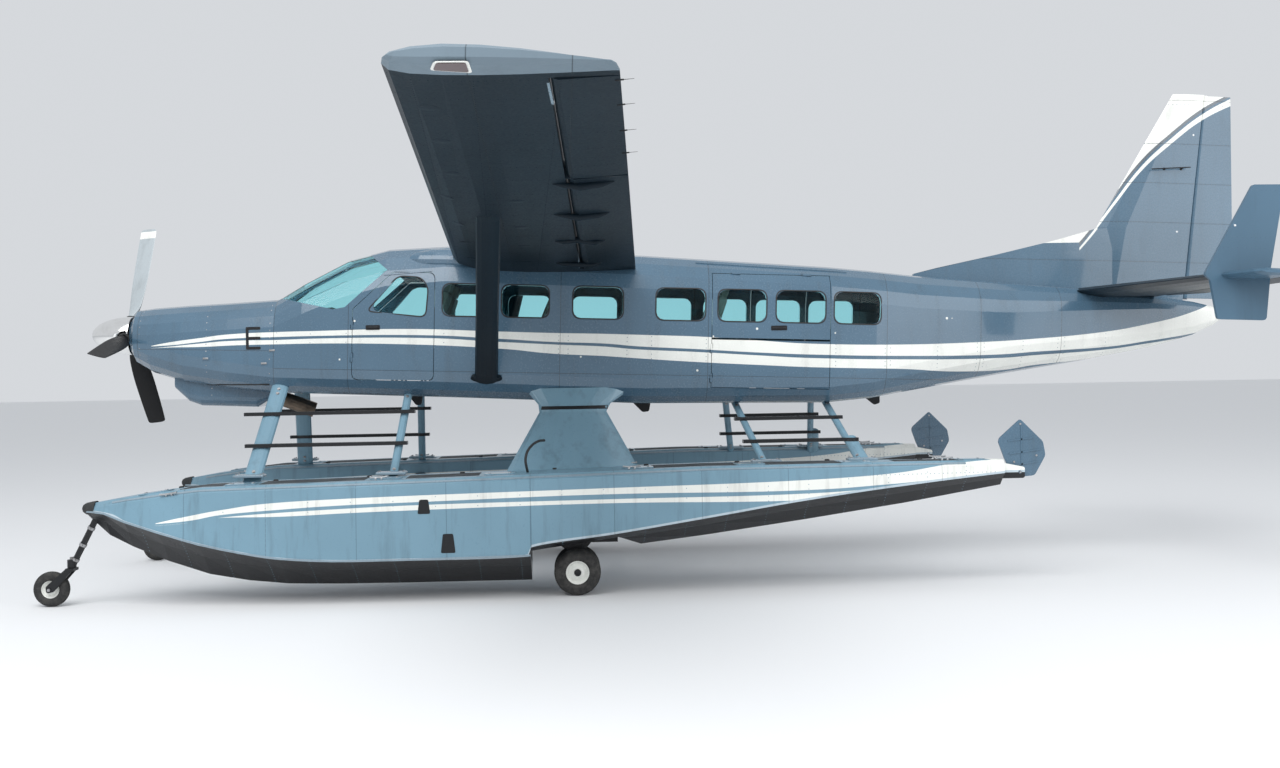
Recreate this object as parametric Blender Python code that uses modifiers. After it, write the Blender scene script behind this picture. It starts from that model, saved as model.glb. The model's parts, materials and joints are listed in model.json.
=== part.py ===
"""Single-turboprop high-wing floatplane, parked on its amphibious floats.

Metres, +Z up. The nose points to -X, the port side to -Y, and the origin is on
the ground under the middle of the length. The airframe is drawn level in its own
frame, from the wing's root leading edge and the thrust line, and parked nose-up.
"""
import math

import bmesh
import bpy
from mathutils import Matrix, Vector

OBJECT_NAME = "floatplane"

# Where the airframe stands: root leading edge of the wing, and the parked pitch
WING_DATUM_X = -2.378
WING_DATUM_Z = 3.422
NOSE_UP = math.radians(1.97)
THRUST_DROP = 0.874

# General sizes
GAP = 0.0003
# Clearance at the lugs of a hinge that leans
RAKED_GAP = 0.0007
SHUT_LINE = 0.006
ARC_STEPS = 4
NOSE_STEPS = 6
WHEEL_STEPS = 20

# Fuselage
WALL = 0.045
FLOOR_Z = -0.50
CABIN_FRONT_X = -1.86
GLASS = 0.010
FIREWALL_X = -1.90
KNUCKLE_RADIUS = 0.012
KNUCKLE_LENGTH = 0.045

# Engine and exhaust
COWL_WALL = 0.030
ENGINE_RADIUS = 0.24
GEARBOX_RADIUS = 0.12
SHAFT_RADIUS = 0.065
EXHAUST_RADIUS = 0.085
EXHAUST_WALL = 0.012
EXHAUST_ROUTE = ((-2.32, 0.16, -0.12), (-2.10, 0.43, -0.635), (-1.66, 0.48, -0.790))

# Wing
SEMI_SPAN = 7.94
ROOT_Y = 0.81
LEADING_EDGE_X = -0.02
ROOT_CHORD = 1.92
TIP_CHORD = 1.26
ROOT_THICKNESS = 0.165
TIP_THICKNESS = 0.120
ROOT_INCIDENCE = math.radians(2.6)
TIP_INCIDENCE = math.radians(-0.3)
TIP_SWEEP = 0.185
DIHEDRAL = math.radians(3.15)
FLAP_START = 0.70
FLAP_Y = (0.98, 5.20)
AILERON_Y = (5.24, 7.68)
AILERON_GAP = 0.008
PIN_RADIUS = 0.008
STRUT_TOP_Y = 3.90
WING_STRUT_X = (0.345, 0.520)
# Lift strut sections: share of the length, chord, thickness
WING_STRUT = (
    (0.00, 0.300, 0.100),
    (0.06, 0.240, 0.085),
    (0.50, 0.215, 0.080),
    (0.94, 0.215, 0.080),
    (1.00, 0.260, 0.090),
)

# Tail
ELEVATOR_HINGE_X = 7.87
ELEVATOR_Y = (0.33, 3.05)
ELEVATOR_THICKNESS = (0.128, 0.068)
ELEVATOR_TE_X = 8.31
STAB_Z = 0.69
FINLET_Y = 2.60

# Propeller
HUB_X = -3.59
HUB_REAR_X = -3.550
BLADE_RADIUS = 1.285
BLADE_ROOT_X = -3.570
BLADE_COUNT = 3
PORT_BLADE_DROOP = math.radians(11.0)

# Floats, in a level frame from the wing datum to the ground
FLOAT_Y = 1.70
STEP_X = 0.77
MAIN_WHEEL = (1.217, 0.228, 0.228)
NOSE_WHEEL = (-3.861, 0.170, 0.170)
SWIVEL_X = -3.668
WELL_REAR_X = 1.62
WELL_TOP_Z = 0.66
WATER_RUDDER_PIVOT = (5.660, 1.100)
# Water rudder, raised: x, z, corner radius
WATER_RUDDER = (
    (5.595, 1.075, 0.03),
    (5.660, 1.045, 0.04),
    (5.830, 1.060, 0.05),
    (5.945, 1.260, 0.08),
    (5.920, 1.400, 0.06),
    (5.690, 1.630, 0.02),
    (5.455, 1.425, 0.06),
    (5.520, 1.240, 0.03),
)
# Bow bumper stations: x, half width, low and high z
BOW_BUMPER = ((-3.545, 0.040, 0.912, 0.972), (-3.515, 0.066, 0.888, 0.992), (-3.420, 0.095, 0.860, 1.006))
# Main wheel pair, outer half: radius, distance from the middle
MAIN_WHEEL_HALF = (
    (0.000, 0.265), (0.045, 0.262), (0.050, 0.215), (0.105, 0.205), (0.118, 0.232), (0.135, 0.236),
    (0.190, 0.232), (0.220, 0.205), (0.228, 0.165), (0.220, 0.122), (0.190, 0.096), (0.120, 0.092),
    (0.060, 0.085), (0.034, 0.083),
)
NOSE_WHEEL_HALF = (
    (0.000, 0.078), (0.0115, 0.078), (0.0115, 0.054), (0.050, 0.046), (0.088, 0.042), (0.098, 0.052),
    (0.135, 0.054), (0.162, 0.042), (0.170, 0.015),
)
MAIN_LEG_HALF = 0.055
AXLE_BORE = 0.0348
# Pylon stations: z, y, front x, rear x, thickness
PYLON = (
    (1.150, 1.47, 0.505, 1.870, 0.20),
    (1.210, 1.42, 0.535, 1.850, 0.17),
    (1.770, 0.92, 0.855, 1.555, 0.15),
    (1.850, 0.86, 0.845, 1.600, 0.17),
    (2.020, 0.68, 0.700, 1.860, 0.30),
)
# Step rungs: height, front x, rear x
FRONT_RUNGS = ((1.490, -2.120, -0.490), (1.805, -2.190, -0.440))
REAR_RUNGS = ((1.430, 2.970, 4.180), (1.655, 2.930, 4.090))
SPREADERS = (("spreader_front", -0.62), ("spreader_rear", 1.75))
SPREADER_Z = 1.00
SIDES = (("left", -1), ("right", 1))


def clear_scene():
    """Remove what the file held before."""
    for item in list(bpy.data.objects):
        bpy.data.objects.remove(item, do_unlink=True)


def make_collection(name):
    """A collection linked to the scene."""
    collection = bpy.data.collections.new(name)
    bpy.context.scene.collection.children.link(collection)
    return collection


clear_scene()
PARTS = make_collection(OBJECT_NAME)
CUTTERS = make_collection("cutters")


def make_material(name, colour, roughness, metallic=0.0, transmission=0.0):
    """A Principled material."""
    material = bpy.data.materials.new(name)
    material.use_nodes = True
    shader = material.node_tree.nodes["Principled BSDF"]
    shader.inputs["Base Color"].default_value = (*colour, 1.0)
    shader.inputs["Roughness"].default_value = roughness
    shader.inputs["Metallic"].default_value = metallic
    shader.inputs["Transmission Weight"].default_value = transmission
    material.diffuse_color = (*colour, 1.0)
    return material


PAINT = make_material("slate_paint", (0.13, 0.18, 0.23), 0.25)
FLOAT_PAINT = make_material("float_paint", (0.25, 0.34, 0.42), 0.3)
WING_PAINT = make_material("wing_paint", (0.05, 0.07, 0.10), 0.25)
BLACK = make_material("black_steel", (0.02, 0.02, 0.022), 0.4, 0.3)
RUBBER = make_material("tyre_rubber", (0.015, 0.015, 0.015), 0.8)
CHROME = make_material("polished_spinner", (0.8, 0.8, 0.8), 0.08, 1.0)
BLADE = make_material("blade_paint", (0.2, 0.21, 0.22), 0.4, 0.2)
TINTED = make_material("cabin_glass", (0.25, 0.6, 0.62), 0.05, 0.0, 0.8)
LEATHER = make_material("seat_leather", (0.30, 0.29, 0.27), 0.6)
PANEL = make_material("panel_plastic", (0.06, 0.06, 0.065), 0.6)
ENGINE = make_material("engine_metal", (0.4, 0.4, 0.4), 0.4, 0.9)


def link(name, mesh, collection=None):
    """An object with this mesh in one of the two collections."""
    item = bpy.data.objects.new(name, mesh)
    (collection or CUTTERS).objects.link(item)
    return item


def from_bmesh(name, bm):
    """A working solid from a bmesh, faces pointing out."""
    bmesh.ops.recalc_face_normals(bm, faces=bm.faces)
    mesh = bpy.data.meshes.new(name)
    bm.to_mesh(mesh)
    bm.free()
    return link(name, mesh)


def evaluated(item):
    """Replace the mesh of an object by its mesh after modifiers."""
    bpy.context.view_layer.update()
    graph = bpy.context.evaluated_depsgraph_get()
    mesh = bpy.data.meshes.new_from_object(item.evaluated_get(graph))
    item.modifiers.clear()
    item.data = mesh
    return item


def combine(target, tool, operation):
    """Join, cut or intersect the target with a tool, which is used up."""
    modifier = target.modifiers.new(operation.lower(), "BOOLEAN")
    modifier.operation = operation
    modifier.object = tool
    evaluated(target)
    bpy.data.objects.remove(tool, do_unlink=True)
    return target


def cut(target, *tools):
    """Take each tool out of the target."""
    for tool in tools:
        combine(target, tool, "DIFFERENCE")
    return target


def join(target, *tools):
    """Add each tool to the target."""
    for tool in tools:
        combine(target, tool, "UNION")
    return target


def common(target, tool):
    """What the target and the tool share."""
    return combine(target, tool, "INTERSECT")


def copy_of(item, name="copy"):
    """A working copy of a solid."""
    return link(name, item.data.copy())


def loft(name, sections):
    """A closed solid through rings of points; its fixed diagonals keep two nested lofts parallel."""
    bm = bmesh.new()
    rings = [[bm.verts.new(point) for point in ring] for ring in sections]
    for ring_a, ring_b in zip(rings, rings[1:]):
        for i in range(len(ring_a)):
            j = (i + 1) % len(ring_a)
            bm.faces.new((ring_a[i], ring_a[j], ring_b[j]))
            bm.faces.new((ring_a[i], ring_b[j], ring_b[i]))
    bm.faces.new(rings[0])
    bm.faces.new(rings[-1])
    return from_bmesh(name, bm)


def box(name, low, high):
    """A box between two corners."""
    bm = bmesh.new()
    bmesh.ops.create_cube(bm, size=1.0)
    size = [b - a for a, b in zip(low, high)]
    middle = [(a + b) / 2 for a, b in zip(low, high)]
    bmesh.ops.transform(bm, matrix=Matrix.Translation(middle) @ Matrix.Diagonal((*size, 1.0)), verts=bm.verts)
    return from_bmesh(name, bm)


def rod(name, start, end, radius, sides=12):
    """A straight round rod between two points."""
    start, end = Vector(start), Vector(end)
    run = end - start
    bm = bmesh.new()
    bmesh.ops.create_cone(bm, cap_ends=True, segments=sides, radius1=radius, radius2=radius, depth=run.length)
    side = Vector((0, 1, 0)).cross(run)
    side = side.normalized() if side.length > 1e-6 else Vector((1, 0, 0))
    up = run.normalized()
    across = up.cross(side)
    turn = Matrix((side, across, up)).transposed().to_4x4()
    bmesh.ops.transform(bm, matrix=Matrix.Translation((start + end) / 2) @ turn, verts=bm.verts)
    return from_bmesh(name, bm)


def rounded_polygon(corners, radius, steps=3):
    """A flat outline whose corners are arcs; a corner may carry its own radius."""
    outline = []
    count = len(corners)
    for i, corner in enumerate(corners):
        own = corner[2] if len(corner) > 2 else radius
        here = Vector(corner[:2])
        back = (Vector(corners[i - 1][:2]) - here).normalized()
        ahead = (Vector(corners[(i + 1) % count][:2]) - here).normalized()
        half = back.angle(ahead) / 2
        if own < 1e-6:
            outline.append(tuple(here))
            continue
        centre = here + (back + ahead).normalized() * own / math.sin(half)
        first = here + back * own / math.tan(half) - centre
        last = here + ahead * own / math.tan(half) - centre
        start = math.atan2(first.y, first.x)
        sweep = (math.atan2(last.y, last.x) - start + math.pi) % (2 * math.pi) - math.pi
        for k in range(steps + 1):
            angle = start + sweep * k / steps
            outline.append((centre.x + own * math.cos(angle), centre.y + own * math.sin(angle)))
    return outline


def plate(name, outline, low, high, axis="Y"):
    """A flat outline pushed from low to high along one axis; it holds the other two coordinates in order."""
    bm = bmesh.new()
    if axis == "Y":
        verts = [bm.verts.new((a, low, b)) for a, b in outline]
        push = (0, high - low, 0)
    elif axis == "Z":
        verts = [bm.verts.new((a, b, low)) for a, b in outline]
        push = (0, 0, high - low)
    else:
        verts = [bm.verts.new((low, a, b)) for a, b in outline]
        push = (high - low, 0, 0)
    face = bm.faces.new(verts)
    out = bmesh.ops.extrude_face_region(bm, geom=[face])
    bmesh.ops.translate(bm, vec=push, verts=[v for v in out["geom"] if isinstance(v, bmesh.types.BMVert)])
    return from_bmesh(name, bm)


def turned(name, profile, centre, steps=24):
    """A solid turned about a Y axis through centre; the profile is (radius, y) from +y to -y."""
    mesh = bpy.data.meshes.new(name)
    points = [(radius, 0, y) for radius, y in profile]
    mesh.from_pydata(points, [(i, i + 1) for i in range(len(points) - 1)], [])
    item = link(name, mesh)
    screw = item.modifiers.new("turn", "SCREW")
    screw.steps = screw.render_steps = steps
    screw.use_merge_vertices = True
    screw.merge_threshold = 0.0001
    evaluated(item)
    turn = Matrix.Rotation(-math.pi / 2, 4, "X")
    item.data.transform(Matrix.Translation(centre) @ turn)
    bm = bmesh.new()
    bm.from_mesh(item.data)
    bmesh.ops.remove_doubles(bm, verts=bm.verts, dist=0.00001)
    bmesh.ops.recalc_face_normals(bm, faces=bm.faces)
    bm.to_mesh(item.data)
    bm.free()
    return item


def datum(name, location, pitch=0.0):
    """An empty that carries a group of parts."""
    empty = bpy.data.objects.new(name, None)
    empty.empty_display_size = 0.3
    empty.location = location
    empty.rotation_euler = (0, pitch, 0)
    PARTS.objects.link(empty)
    return empty


DATUM_X = WING_DATUM_X - THRUST_DROP * math.sin(NOSE_UP)
DATUM_Z = WING_DATUM_Z - THRUST_DROP * math.cos(NOSE_UP)
AIRFRAME = datum("airframe_datum", (DATUM_X, 0, DATUM_Z), NOSE_UP)
GROUND = datum("ground_datum", (WING_DATUM_X, 0, 0))


def place(item, name, material, parent=None, origin=None):
    """Name a finished solid, give it its material, its carrier and its origin on its joint."""
    item.name = name
    item.data.name = name
    item.data.materials.clear()
    item.data.materials.append(material)
    for other in list(item.users_collection):
        other.objects.unlink(item)
    PARTS.objects.link(item)
    item.parent = parent or AIRFRAME
    if origin is not None:
        item.data.transform(Matrix.Translation(-Vector(origin)))
        item.location = origin
    item.data.shade_smooth()
    item.data.set_sharp_from_angle(angle=math.radians(32))
    return item


def body_section(x, z_bottom, z_top, half_width, r_bottom, r_top, inset=0.0):
    """A closed fuselage section of straight sides and corner arcs."""
    half_width, z_bottom, z_top = half_width - inset, z_bottom + inset, z_top - inset
    ring = []
    corners = ((1, 1, r_top), (-1, 1, r_top), (-1, -1, r_bottom), (1, -1, r_bottom))
    for index, (side, level, radius) in enumerate(corners):
        radius = max(radius - inset, 0.01)
        centre_y = side * (half_width - radius)
        centre_z = (z_top if level > 0 else z_bottom) - level * radius
        for k in range(ARC_STEPS + 1):
            angle = math.radians(90 * (index + k / ARC_STEPS))
            ring.append((x, centre_y + radius * math.cos(angle), centre_z + radius * math.sin(angle)))
    return ring


# Fuselage stations: x, bottom z, top z, half width, bottom corner radius, top corner radius
FUSELAGE = (
    (-1.900, -0.590, 0.405, 0.660, 0.260, 0.300),
    (-1.600, -0.592, 0.600, 0.720, 0.260, 0.360),
    (-1.157, -0.596, 0.845, 0.780, 0.260, 0.420),
    (-0.725, -0.600, 0.965, 0.815, 0.260, 0.420),
    (-0.100, -0.606, 1.010, 0.830, 0.260, 0.400),
    (2.000, -0.640, 0.955, 0.830, 0.260, 0.380),
    (4.000, -0.600, 0.877, 0.810, 0.270, 0.380),
    (4.500, -0.545, 0.850, 0.745, 0.280, 0.380),
    (5.000, -0.450, 0.815, 0.660, 0.300, 0.380),
    (6.000, -0.260, 0.775, 0.490, 0.300, 0.360),
    (7.000, -0.085, 0.730, 0.310, 0.240, 0.260),
    (7.800, 0.078, 0.670, 0.190, 0.160, 0.160),
    (8.300, 0.226, 0.612, 0.115, 0.100, 0.100),
    (8.550, 0.345, 0.560, 0.070, 0.060, 0.060),
    (8.635, 0.405, 0.485, 0.035, 0.030, 0.030),
)

# Cowl stations, same columns
COWL = (
    (-3.530, -0.200, 0.190, 0.200, 0.190, 0.190),
    (-3.460, -0.300, 0.275, 0.310, 0.260, 0.260),
    (-3.280, -0.395, 0.300, 0.400, 0.300, 0.300),
    (-2.900, -0.500, 0.330, 0.500, 0.300, 0.300),
    (-2.400, -0.555, 0.365, 0.590, 0.280, 0.300),
    (-1.900, -0.590, 0.405, 0.660, 0.260, 0.300),
)

# Chin scoop stations: x, bottom z, half width, corner radius
CHIN_SCOOP = (
    (-3.020, -0.560, 0.260, 0.050),
    (-2.870, -0.700, 0.270, 0.080),
    (-2.740, -0.745, 0.280, 0.100),
    (-2.150, -0.750, 0.280, 0.100),
    (-1.950, -0.625, 0.260, 0.030),
)

# Port windows: front x, rear x, the panel that holds the pane
WINDOWS = (
    (-0.117, 0.380, "cabin"),
    (0.500, 0.989, "cabin"),
    (1.247, 1.770, "cabin"),
    (2.125, 2.642, "cabin"),
    (2.784, 3.294, "door"),
    (3.406, 3.929, "door"),
    (4.031, 4.543, "cabin"),
)
# On the starboard side only one window is in the door
STARBOARD_WINDOWS = tuple((front, rear, "door" if front > 3.35 and rear < 4.0 else "cabin")
                          for front, rear, panel in WINDOWS)
WINDOW_Z = (0.250, 0.580)
WINDOW_RADIUS = 0.085
CREW_WINDOW = ((-0.905, 0.285), (-0.300, 0.235), (-0.276, 0.534), (-0.354, 0.640), (-0.585, 0.650))
CREW_DOOR = ((-1.060, -0.440), (-0.200, -0.440), (-0.200, 0.700), (-0.640, 0.700), (-1.060, 0.300))
WINDSHIELD = (
    (-1.950, 0.430), (-1.260, 0.295), (-1.140, 0.320), (-0.705, 0.720), (-0.930, 0.905), (-0.930, 1.400),
    (-2.200, 1.400), (-2.200, 0.430),
)
CARGO_DOOR_X = (2.715, 3.990)
CARGO_SPLIT_Z = 0.060
CARGO_TOP_Z = 0.760
AIRSTAIR_X = (3.340, 4.000)
DOOR_SILL_Z = -0.460
POST_HALF = 0.025
ROOT_FAIRING = (-0.050, 0.640, 0.840)
ROOT_FAIRING_RADII = (0.480, 0.165, 0.130)

# Cabin seats: front edge of each row, and the seat's side view from there and from the floor
SEAT_ROWS = (-0.72, 0.45, 1.35, 2.25)
SEAT_PROFILE = ((0.00, 0.33), (0.42, 0.29), (0.66, 1.04), (0.54, 1.06), (0.38, 0.46), (0.00, 0.46))


def skin_y(x, z):
    """Half width of the fuselage skin at a station and a height."""
    for front, rear in zip(FUSELAGE, FUSELAGE[1:]):
        if front[0] <= x <= rear[0]:
            mix = (x - front[0]) / (rear[0] - front[0])
            z_bottom, z_top, half, r_bottom, r_top = (a + (b - a) * mix for a, b in zip(front[1:], rear[1:]))
            above = max(0.0, z - (z_top - r_top)) / r_top
            below = max(0.0, (z_bottom + r_bottom) - z) / r_bottom
            radius, reach = (r_top, above) if above else (r_bottom, below)
            return half - radius * (1 - math.sqrt(1 - reach * reach))
    return 0.0


def fuselage_solid(name, inset=0.0, stations=FUSELAGE):
    """The fuselage as a solid, moved in (or out) by an inset."""
    return loft(name, [body_section(*station, inset=inset) for station in stations])


def wall_layer(outer_inset, inner_inset):
    """A thin skin between two insets of the fuselage."""
    cabin = FUSELAGE[:9]
    return cut(fuselage_solid("skin", outer_inset, cabin), fuselage_solid("core", inner_inset, cabin))


def rectangle(x_range, z_range, radius, grow=0.0):
    """A rectangle in side view with corner arcs."""
    x_low, x_high = x_range[0] - grow, x_range[1] + grow
    z_low, z_high = z_range[0] - grow, z_range[1] + grow
    corners = ((x_low, z_low), (x_high, z_low), (x_high, z_high), (x_low, z_high))
    return rounded_polygon(corners, radius + grow) if radius > 0 else [tuple(c) for c in corners]


def grown(corners, amount):
    """A convex outline with each side pushed out (or in) by an amount."""
    count = len(corners)
    area = sum(corners[i - 1][0] * corners[i][1] - corners[i][0] * corners[i - 1][1] for i in range(count))
    sign = 1 if area > 0 else -1
    result = []
    for i in range(count):
        here = Vector(corners[i])
        back = (here - Vector(corners[i - 1])).normalized()
        ahead = (Vector(corners[(i + 1) % count]) - here).normalized()
        normal_back = Vector((back.y, -back.x)) * sign
        normal_ahead = Vector((ahead.y, -ahead.x)) * sign
        bisector = (normal_back + normal_ahead).normalized()
        result.append(tuple(here + bisector * amount / max(bisector.dot(normal_back), 0.3)))
    return result


def side_prism(outline, side):
    """A cutter that passes through one wall of the cabin."""
    low, high = (0.30, 1.10) if side > 0 else (-1.10, -0.30)
    return plate("prism", outline, low, high)


def window_prisms(group, side, grow, windows):
    """Cutters for the windows of one panel."""
    return [side_prism(rectangle((front, rear), WINDOW_Z, WINDOW_RADIUS, grow), side)
            for front, rear, kind in windows if kind == group]


def airfoil(chord, thickness, camber=0.02, count=9):
    """A closed wing section from the leading edge, upper side first, in x and z."""
    camber_at = 0.35

    def half(x):
        powers = 0.2969 * math.sqrt(x) - 0.126 * x - 0.3516 * x ** 2 + 0.2843 * x ** 3 - 0.1015 * x ** 4
        return 5 * thickness * powers

    def mean(x):
        if x < camber_at:
            return camber / camber_at ** 2 * (2 * camber_at * x - x * x)
        return camber / (1 - camber_at) ** 2 * (1 - 2 * camber_at + 2 * camber_at * x - x * x)

    xs = [(1 - math.cos(math.pi * i / count)) / 2 for i in range(count + 1)]
    upper = [(x * chord, (mean(x) + half(x)) * chord) for x in xs]
    lower = [(x * chord, (mean(x) - half(x)) * chord) for x in xs[-1:0:-1]]
    upper[-1] = (chord, upper[-1][1] + 0.002)
    lower[0] = (chord, lower[0][1] - 0.002)
    return upper + lower


def wing_place(y):
    """Leading edge x and z, chord, thickness ratio and incidence at a span station."""
    run = max(0.0, min(1.0, (abs(y) - ROOT_Y) / (SEMI_SPAN - ROOT_Y)))
    x_le = LEADING_EDGE_X + TIP_SWEEP * run
    z_le = THRUST_DROP + max(0.0, abs(y) - ROOT_Y) * math.tan(DIHEDRAL)
    chord = ROOT_CHORD + (TIP_CHORD - ROOT_CHORD) * run
    thickness = ROOT_THICKNESS + (TIP_THICKNESS - ROOT_THICKNESS) * run
    incidence = ROOT_INCIDENCE + (TIP_INCIDENCE - ROOT_INCIDENCE) * run
    return x_le, z_le, chord, thickness, incidence


def wing_section(y, grow=0.0, shrink=1.0):
    """A wing section; shrink thins it at the tip."""
    x_le, z_le, chord, thickness, incidence = wing_place(y)
    ring = []
    outline = airfoil(chord, thickness * shrink)
    for i, (x, z) in enumerate(outline):
        at_rear = x > 0.999 * chord
        x = chord * 0.5 + (x - chord * 0.5) * (0.9 + 0.1 * shrink)
        if at_rear:
            x += grow
        if i == 0:
            x -= grow
        else:
            z += grow if i <= len(outline) // 2 else -grow
        turned_x = x * math.cos(incidence) + z * math.sin(incidence)
        turned_z = z * math.cos(incidence) - x * math.sin(incidence)
        ring.append((x_le + turned_x, y, z_le + turned_z))
    return ring


def wing_point(y, fraction):
    """A point on the rear part of the wing's mean line."""
    x_le, z_le, chord, _, incidence = wing_place(y)
    x = chord * fraction
    z = 0.028 * chord * (1 - fraction)
    return Vector((x_le + x * math.cos(incidence) + z * math.sin(incidence), y,
                   z_le + z * math.cos(incidence) - x * math.sin(incidence)))


def hinged_surface(name, ends):
    """A control surface: round nose about its hinge line, tapering to its trailing edge.

    Each end is (hinge point, half thickness, trailing edge point).
    """
    sections = []
    span = Vector(ends[1][0]) - Vector(ends[0][0])
    for hinge, radius, trailing in ends:
        hinge, trailing = Vector(hinge), Vector(trailing)
        aft = (trailing - hinge).normalized()
        side = aft.cross(span).normalized()
        ring = []
        for k in range(NOSE_STEPS + 1):
            angle = math.pi / 2 + math.pi * k / NOSE_STEPS
            ring.append(hinge + aft * (radius * math.cos(angle)) + side * (radius * math.sin(angle)))
        ring.append(trailing - side * 0.004)
        ring.append(trailing + side * 0.004)
        sections.append([tuple(p) for p in ring])
    return loft(name, sections)


def build_cowl():
    """Cowl shell with its chin scoop, open at the firewall and round the spinner."""
    cowl = loft("cowl", [body_section(*station) for station in COWL])
    join(cowl, loft("scoop", [body_section(x, z_bottom, -0.30, half_width, radius, 0.03)
                              for x, z_bottom, half_width, radius in CHIN_SCOOP]))
    intake = loft("intake", [body_section(-3.10, -0.66, -0.53, 0.20, 0.05, 0.05),
                             body_section(-2.60, -0.70, -0.60, 0.20, 0.04, 0.04)])
    cut(cowl, intake)
    inner = [body_section(*station, inset=COWL_WALL) for station in COWL[1:]]
    inner[0] = [(-3.47, y, z) for _, y, z in inner[0]]
    inner[-1] = [(-1.85, y, z) for _, y, z in inner[-1]]
    cut(cowl, loft("hollow", inner))
    cut(cowl, rod("shaft_hole", (-3.60, 0, 0), (-3.40, 0, 0), 0.150, sides=24))
    for low, high in ((-0.185, -0.045), (0.045, 0.185)):
        lip = rounded_polygon(((low, -0.245), (high, -0.245), (high, -0.175), (low, -0.175)), 0.025, 2)
        cut(cowl, plate("inlet", lip, -3.6, -3.3, axis="X"))
    cut(cowl, exhaust_pipe(EXHAUST_RADIUS + 0.008))
    place(cowl, "engine_cowl", PAINT)


def build_engine():
    """The engine as one plain block, with the exhaust stub it carries."""
    engine = rod("engine", (-3.38, 0, 0), (FIREWALL_X - GAP, 0, 0), ENGINE_RADIUS, sides=24)
    join(engine, rod("gearbox", (-3.48, 0, 0), (-3.30, 0, 0), GEARBOX_RADIUS, sides=16),
         rod("shaft", (HUB_REAR_X + GAP, 0, 0), (-3.40, 0, 0), SHAFT_RADIUS, sides=16))
    join(engine, exhaust_pipe(EXHAUST_RADIUS))
    start, end = Vector(EXHAUST_ROUTE[1]), Vector(EXHAUST_ROUTE[2])
    bore_end = end + (end - start).normalized() * 0.05
    cut(engine, rod("bore", start.lerp(end, 0.3), bore_end, EXHAUST_RADIUS - EXHAUST_WALL, sides=16))
    place(engine, "engine_block", ENGINE)


def exhaust_pipe(radius):
    """The exhaust stub from the engine's starboard side, out under the cowl."""
    root, knee, end = EXHAUST_ROUTE
    pipe = rod("pipe", root, knee, radius, sides=16)
    ball = bmesh.new()
    bmesh.ops.create_uvsphere(ball, u_segments=16, v_segments=8, radius=radius * 1.01)
    bmesh.ops.translate(ball, vec=knee, verts=ball.verts)
    return join(pipe, from_bmesh("ball", ball), rod("tail", knee, end, radius, sides=16))


def door_prisms(grow):
    """Cutters for the doors, keyed by door; grow is zero at the wall and negative on the panel."""
    crew = rounded_polygon(grown(CREW_DOOR, grow), 0.06)
    prisms = {}
    for name, side in SIDES:
        prisms["crew_door_" + name] = side_prism(crew, side)
    upper_z = (CARGO_SPLIT_Z + 0.004, CARGO_TOP_Z)
    lower_z = (DOOR_SILL_Z, CARGO_SPLIT_Z - 0.004)
    for name, x_range, side in (("cargo_door", CARGO_DOOR_X, -1), ("airstair", AIRSTAIR_X, 1)):
        prisms[name + "_upper"] = side_prism(rectangle(x_range, upper_z, 0, grow), side)
        prisms[name + "_lower"] = side_prism(rectangle(x_range, lower_z, 0, grow), side)
    return prisms


def build_fuselage():
    """Fuselage shell from the firewall to the tail cone, its doors and its glass."""
    shell = fuselage_solid("fuselage")
    cavity = [body_section(*station, inset=WALL) for station in FUSELAGE[:11]]
    cavity[0] = [(CABIN_FRONT_X, y, z) for _, y, z in cavity[0]]
    hollow = loft("cavity", cavity)
    cut(hollow, box("floor", (-3, -2, -2), (6, 2, FLOOR_Z)))
    cut(shell, hollow)
    common_wall = copy_of(shell)

    # Door openings through the wall
    crew_outline = rounded_polygon(CREW_DOOR, 0.06)
    cut(shell, side_prism(crew_outline, -1), side_prism(crew_outline, 1))
    cut(shell, side_prism(rectangle(CARGO_DOOR_X, (DOOR_SILL_Z, CARGO_TOP_Z), 0), -1))
    cut(shell, side_prism(rectangle(AIRSTAIR_X, (DOOR_SILL_Z, CARGO_TOP_Z), 0), 1))

    # Window openings through the wall
    cut(shell, *window_prisms("cabin", -1, 0.0, WINDOWS), *window_prisms("cabin", 1, 0.0, STARBOARD_WINDOWS))
    for side in (-1, 1):
        low, high = (POST_HALF, 1.1) if side > 0 else (-1.1, -POST_HALF)
        cut(shell, plate("screen", WINDSHIELD, low, high))

    doors = door_panels(common_wall)
    bpy.data.objects.remove(common_wall, do_unlink=True)
    for name, (start, end) in DOOR_HINGES.items():
        add_knuckles(doors[name], shell, start, end)

    for side in (-1, 1):
        join(shell, root_fairing(side))

    # The wing lies in the roof and the stabilizer in the tail cone
    cut(shell, wing_blank(2 * GAP))
    cut(shell, stabilizer_blank(2.5 * GAP))
    place(shell, "fuselage", PAINT)
    origins = {}
    for name, door in doors.items():
        start, end = DOOR_HINGES[name]
        origins[name] = tuple((a + b) / 2 for a, b in zip(start, end))
        place(door, name, PAINT, origin=origins[name])
    build_glass(origins)


def root_fairing(side):
    """The bulge ahead of the wing's root."""
    bm = bmesh.new()
    bmesh.ops.create_uvsphere(bm, u_segments=16, v_segments=10, radius=1.0)
    shape = Matrix.Diagonal((*ROOT_FAIRING_RADII, 1.0))
    x, y, z = ROOT_FAIRING
    bmesh.ops.transform(bm, matrix=Matrix.Translation((x, side * y, z)) @ shape, verts=bm.verts)
    return cut(from_bmesh("fairing", bm), fuselage_solid("inside", WALL / 2))


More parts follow.
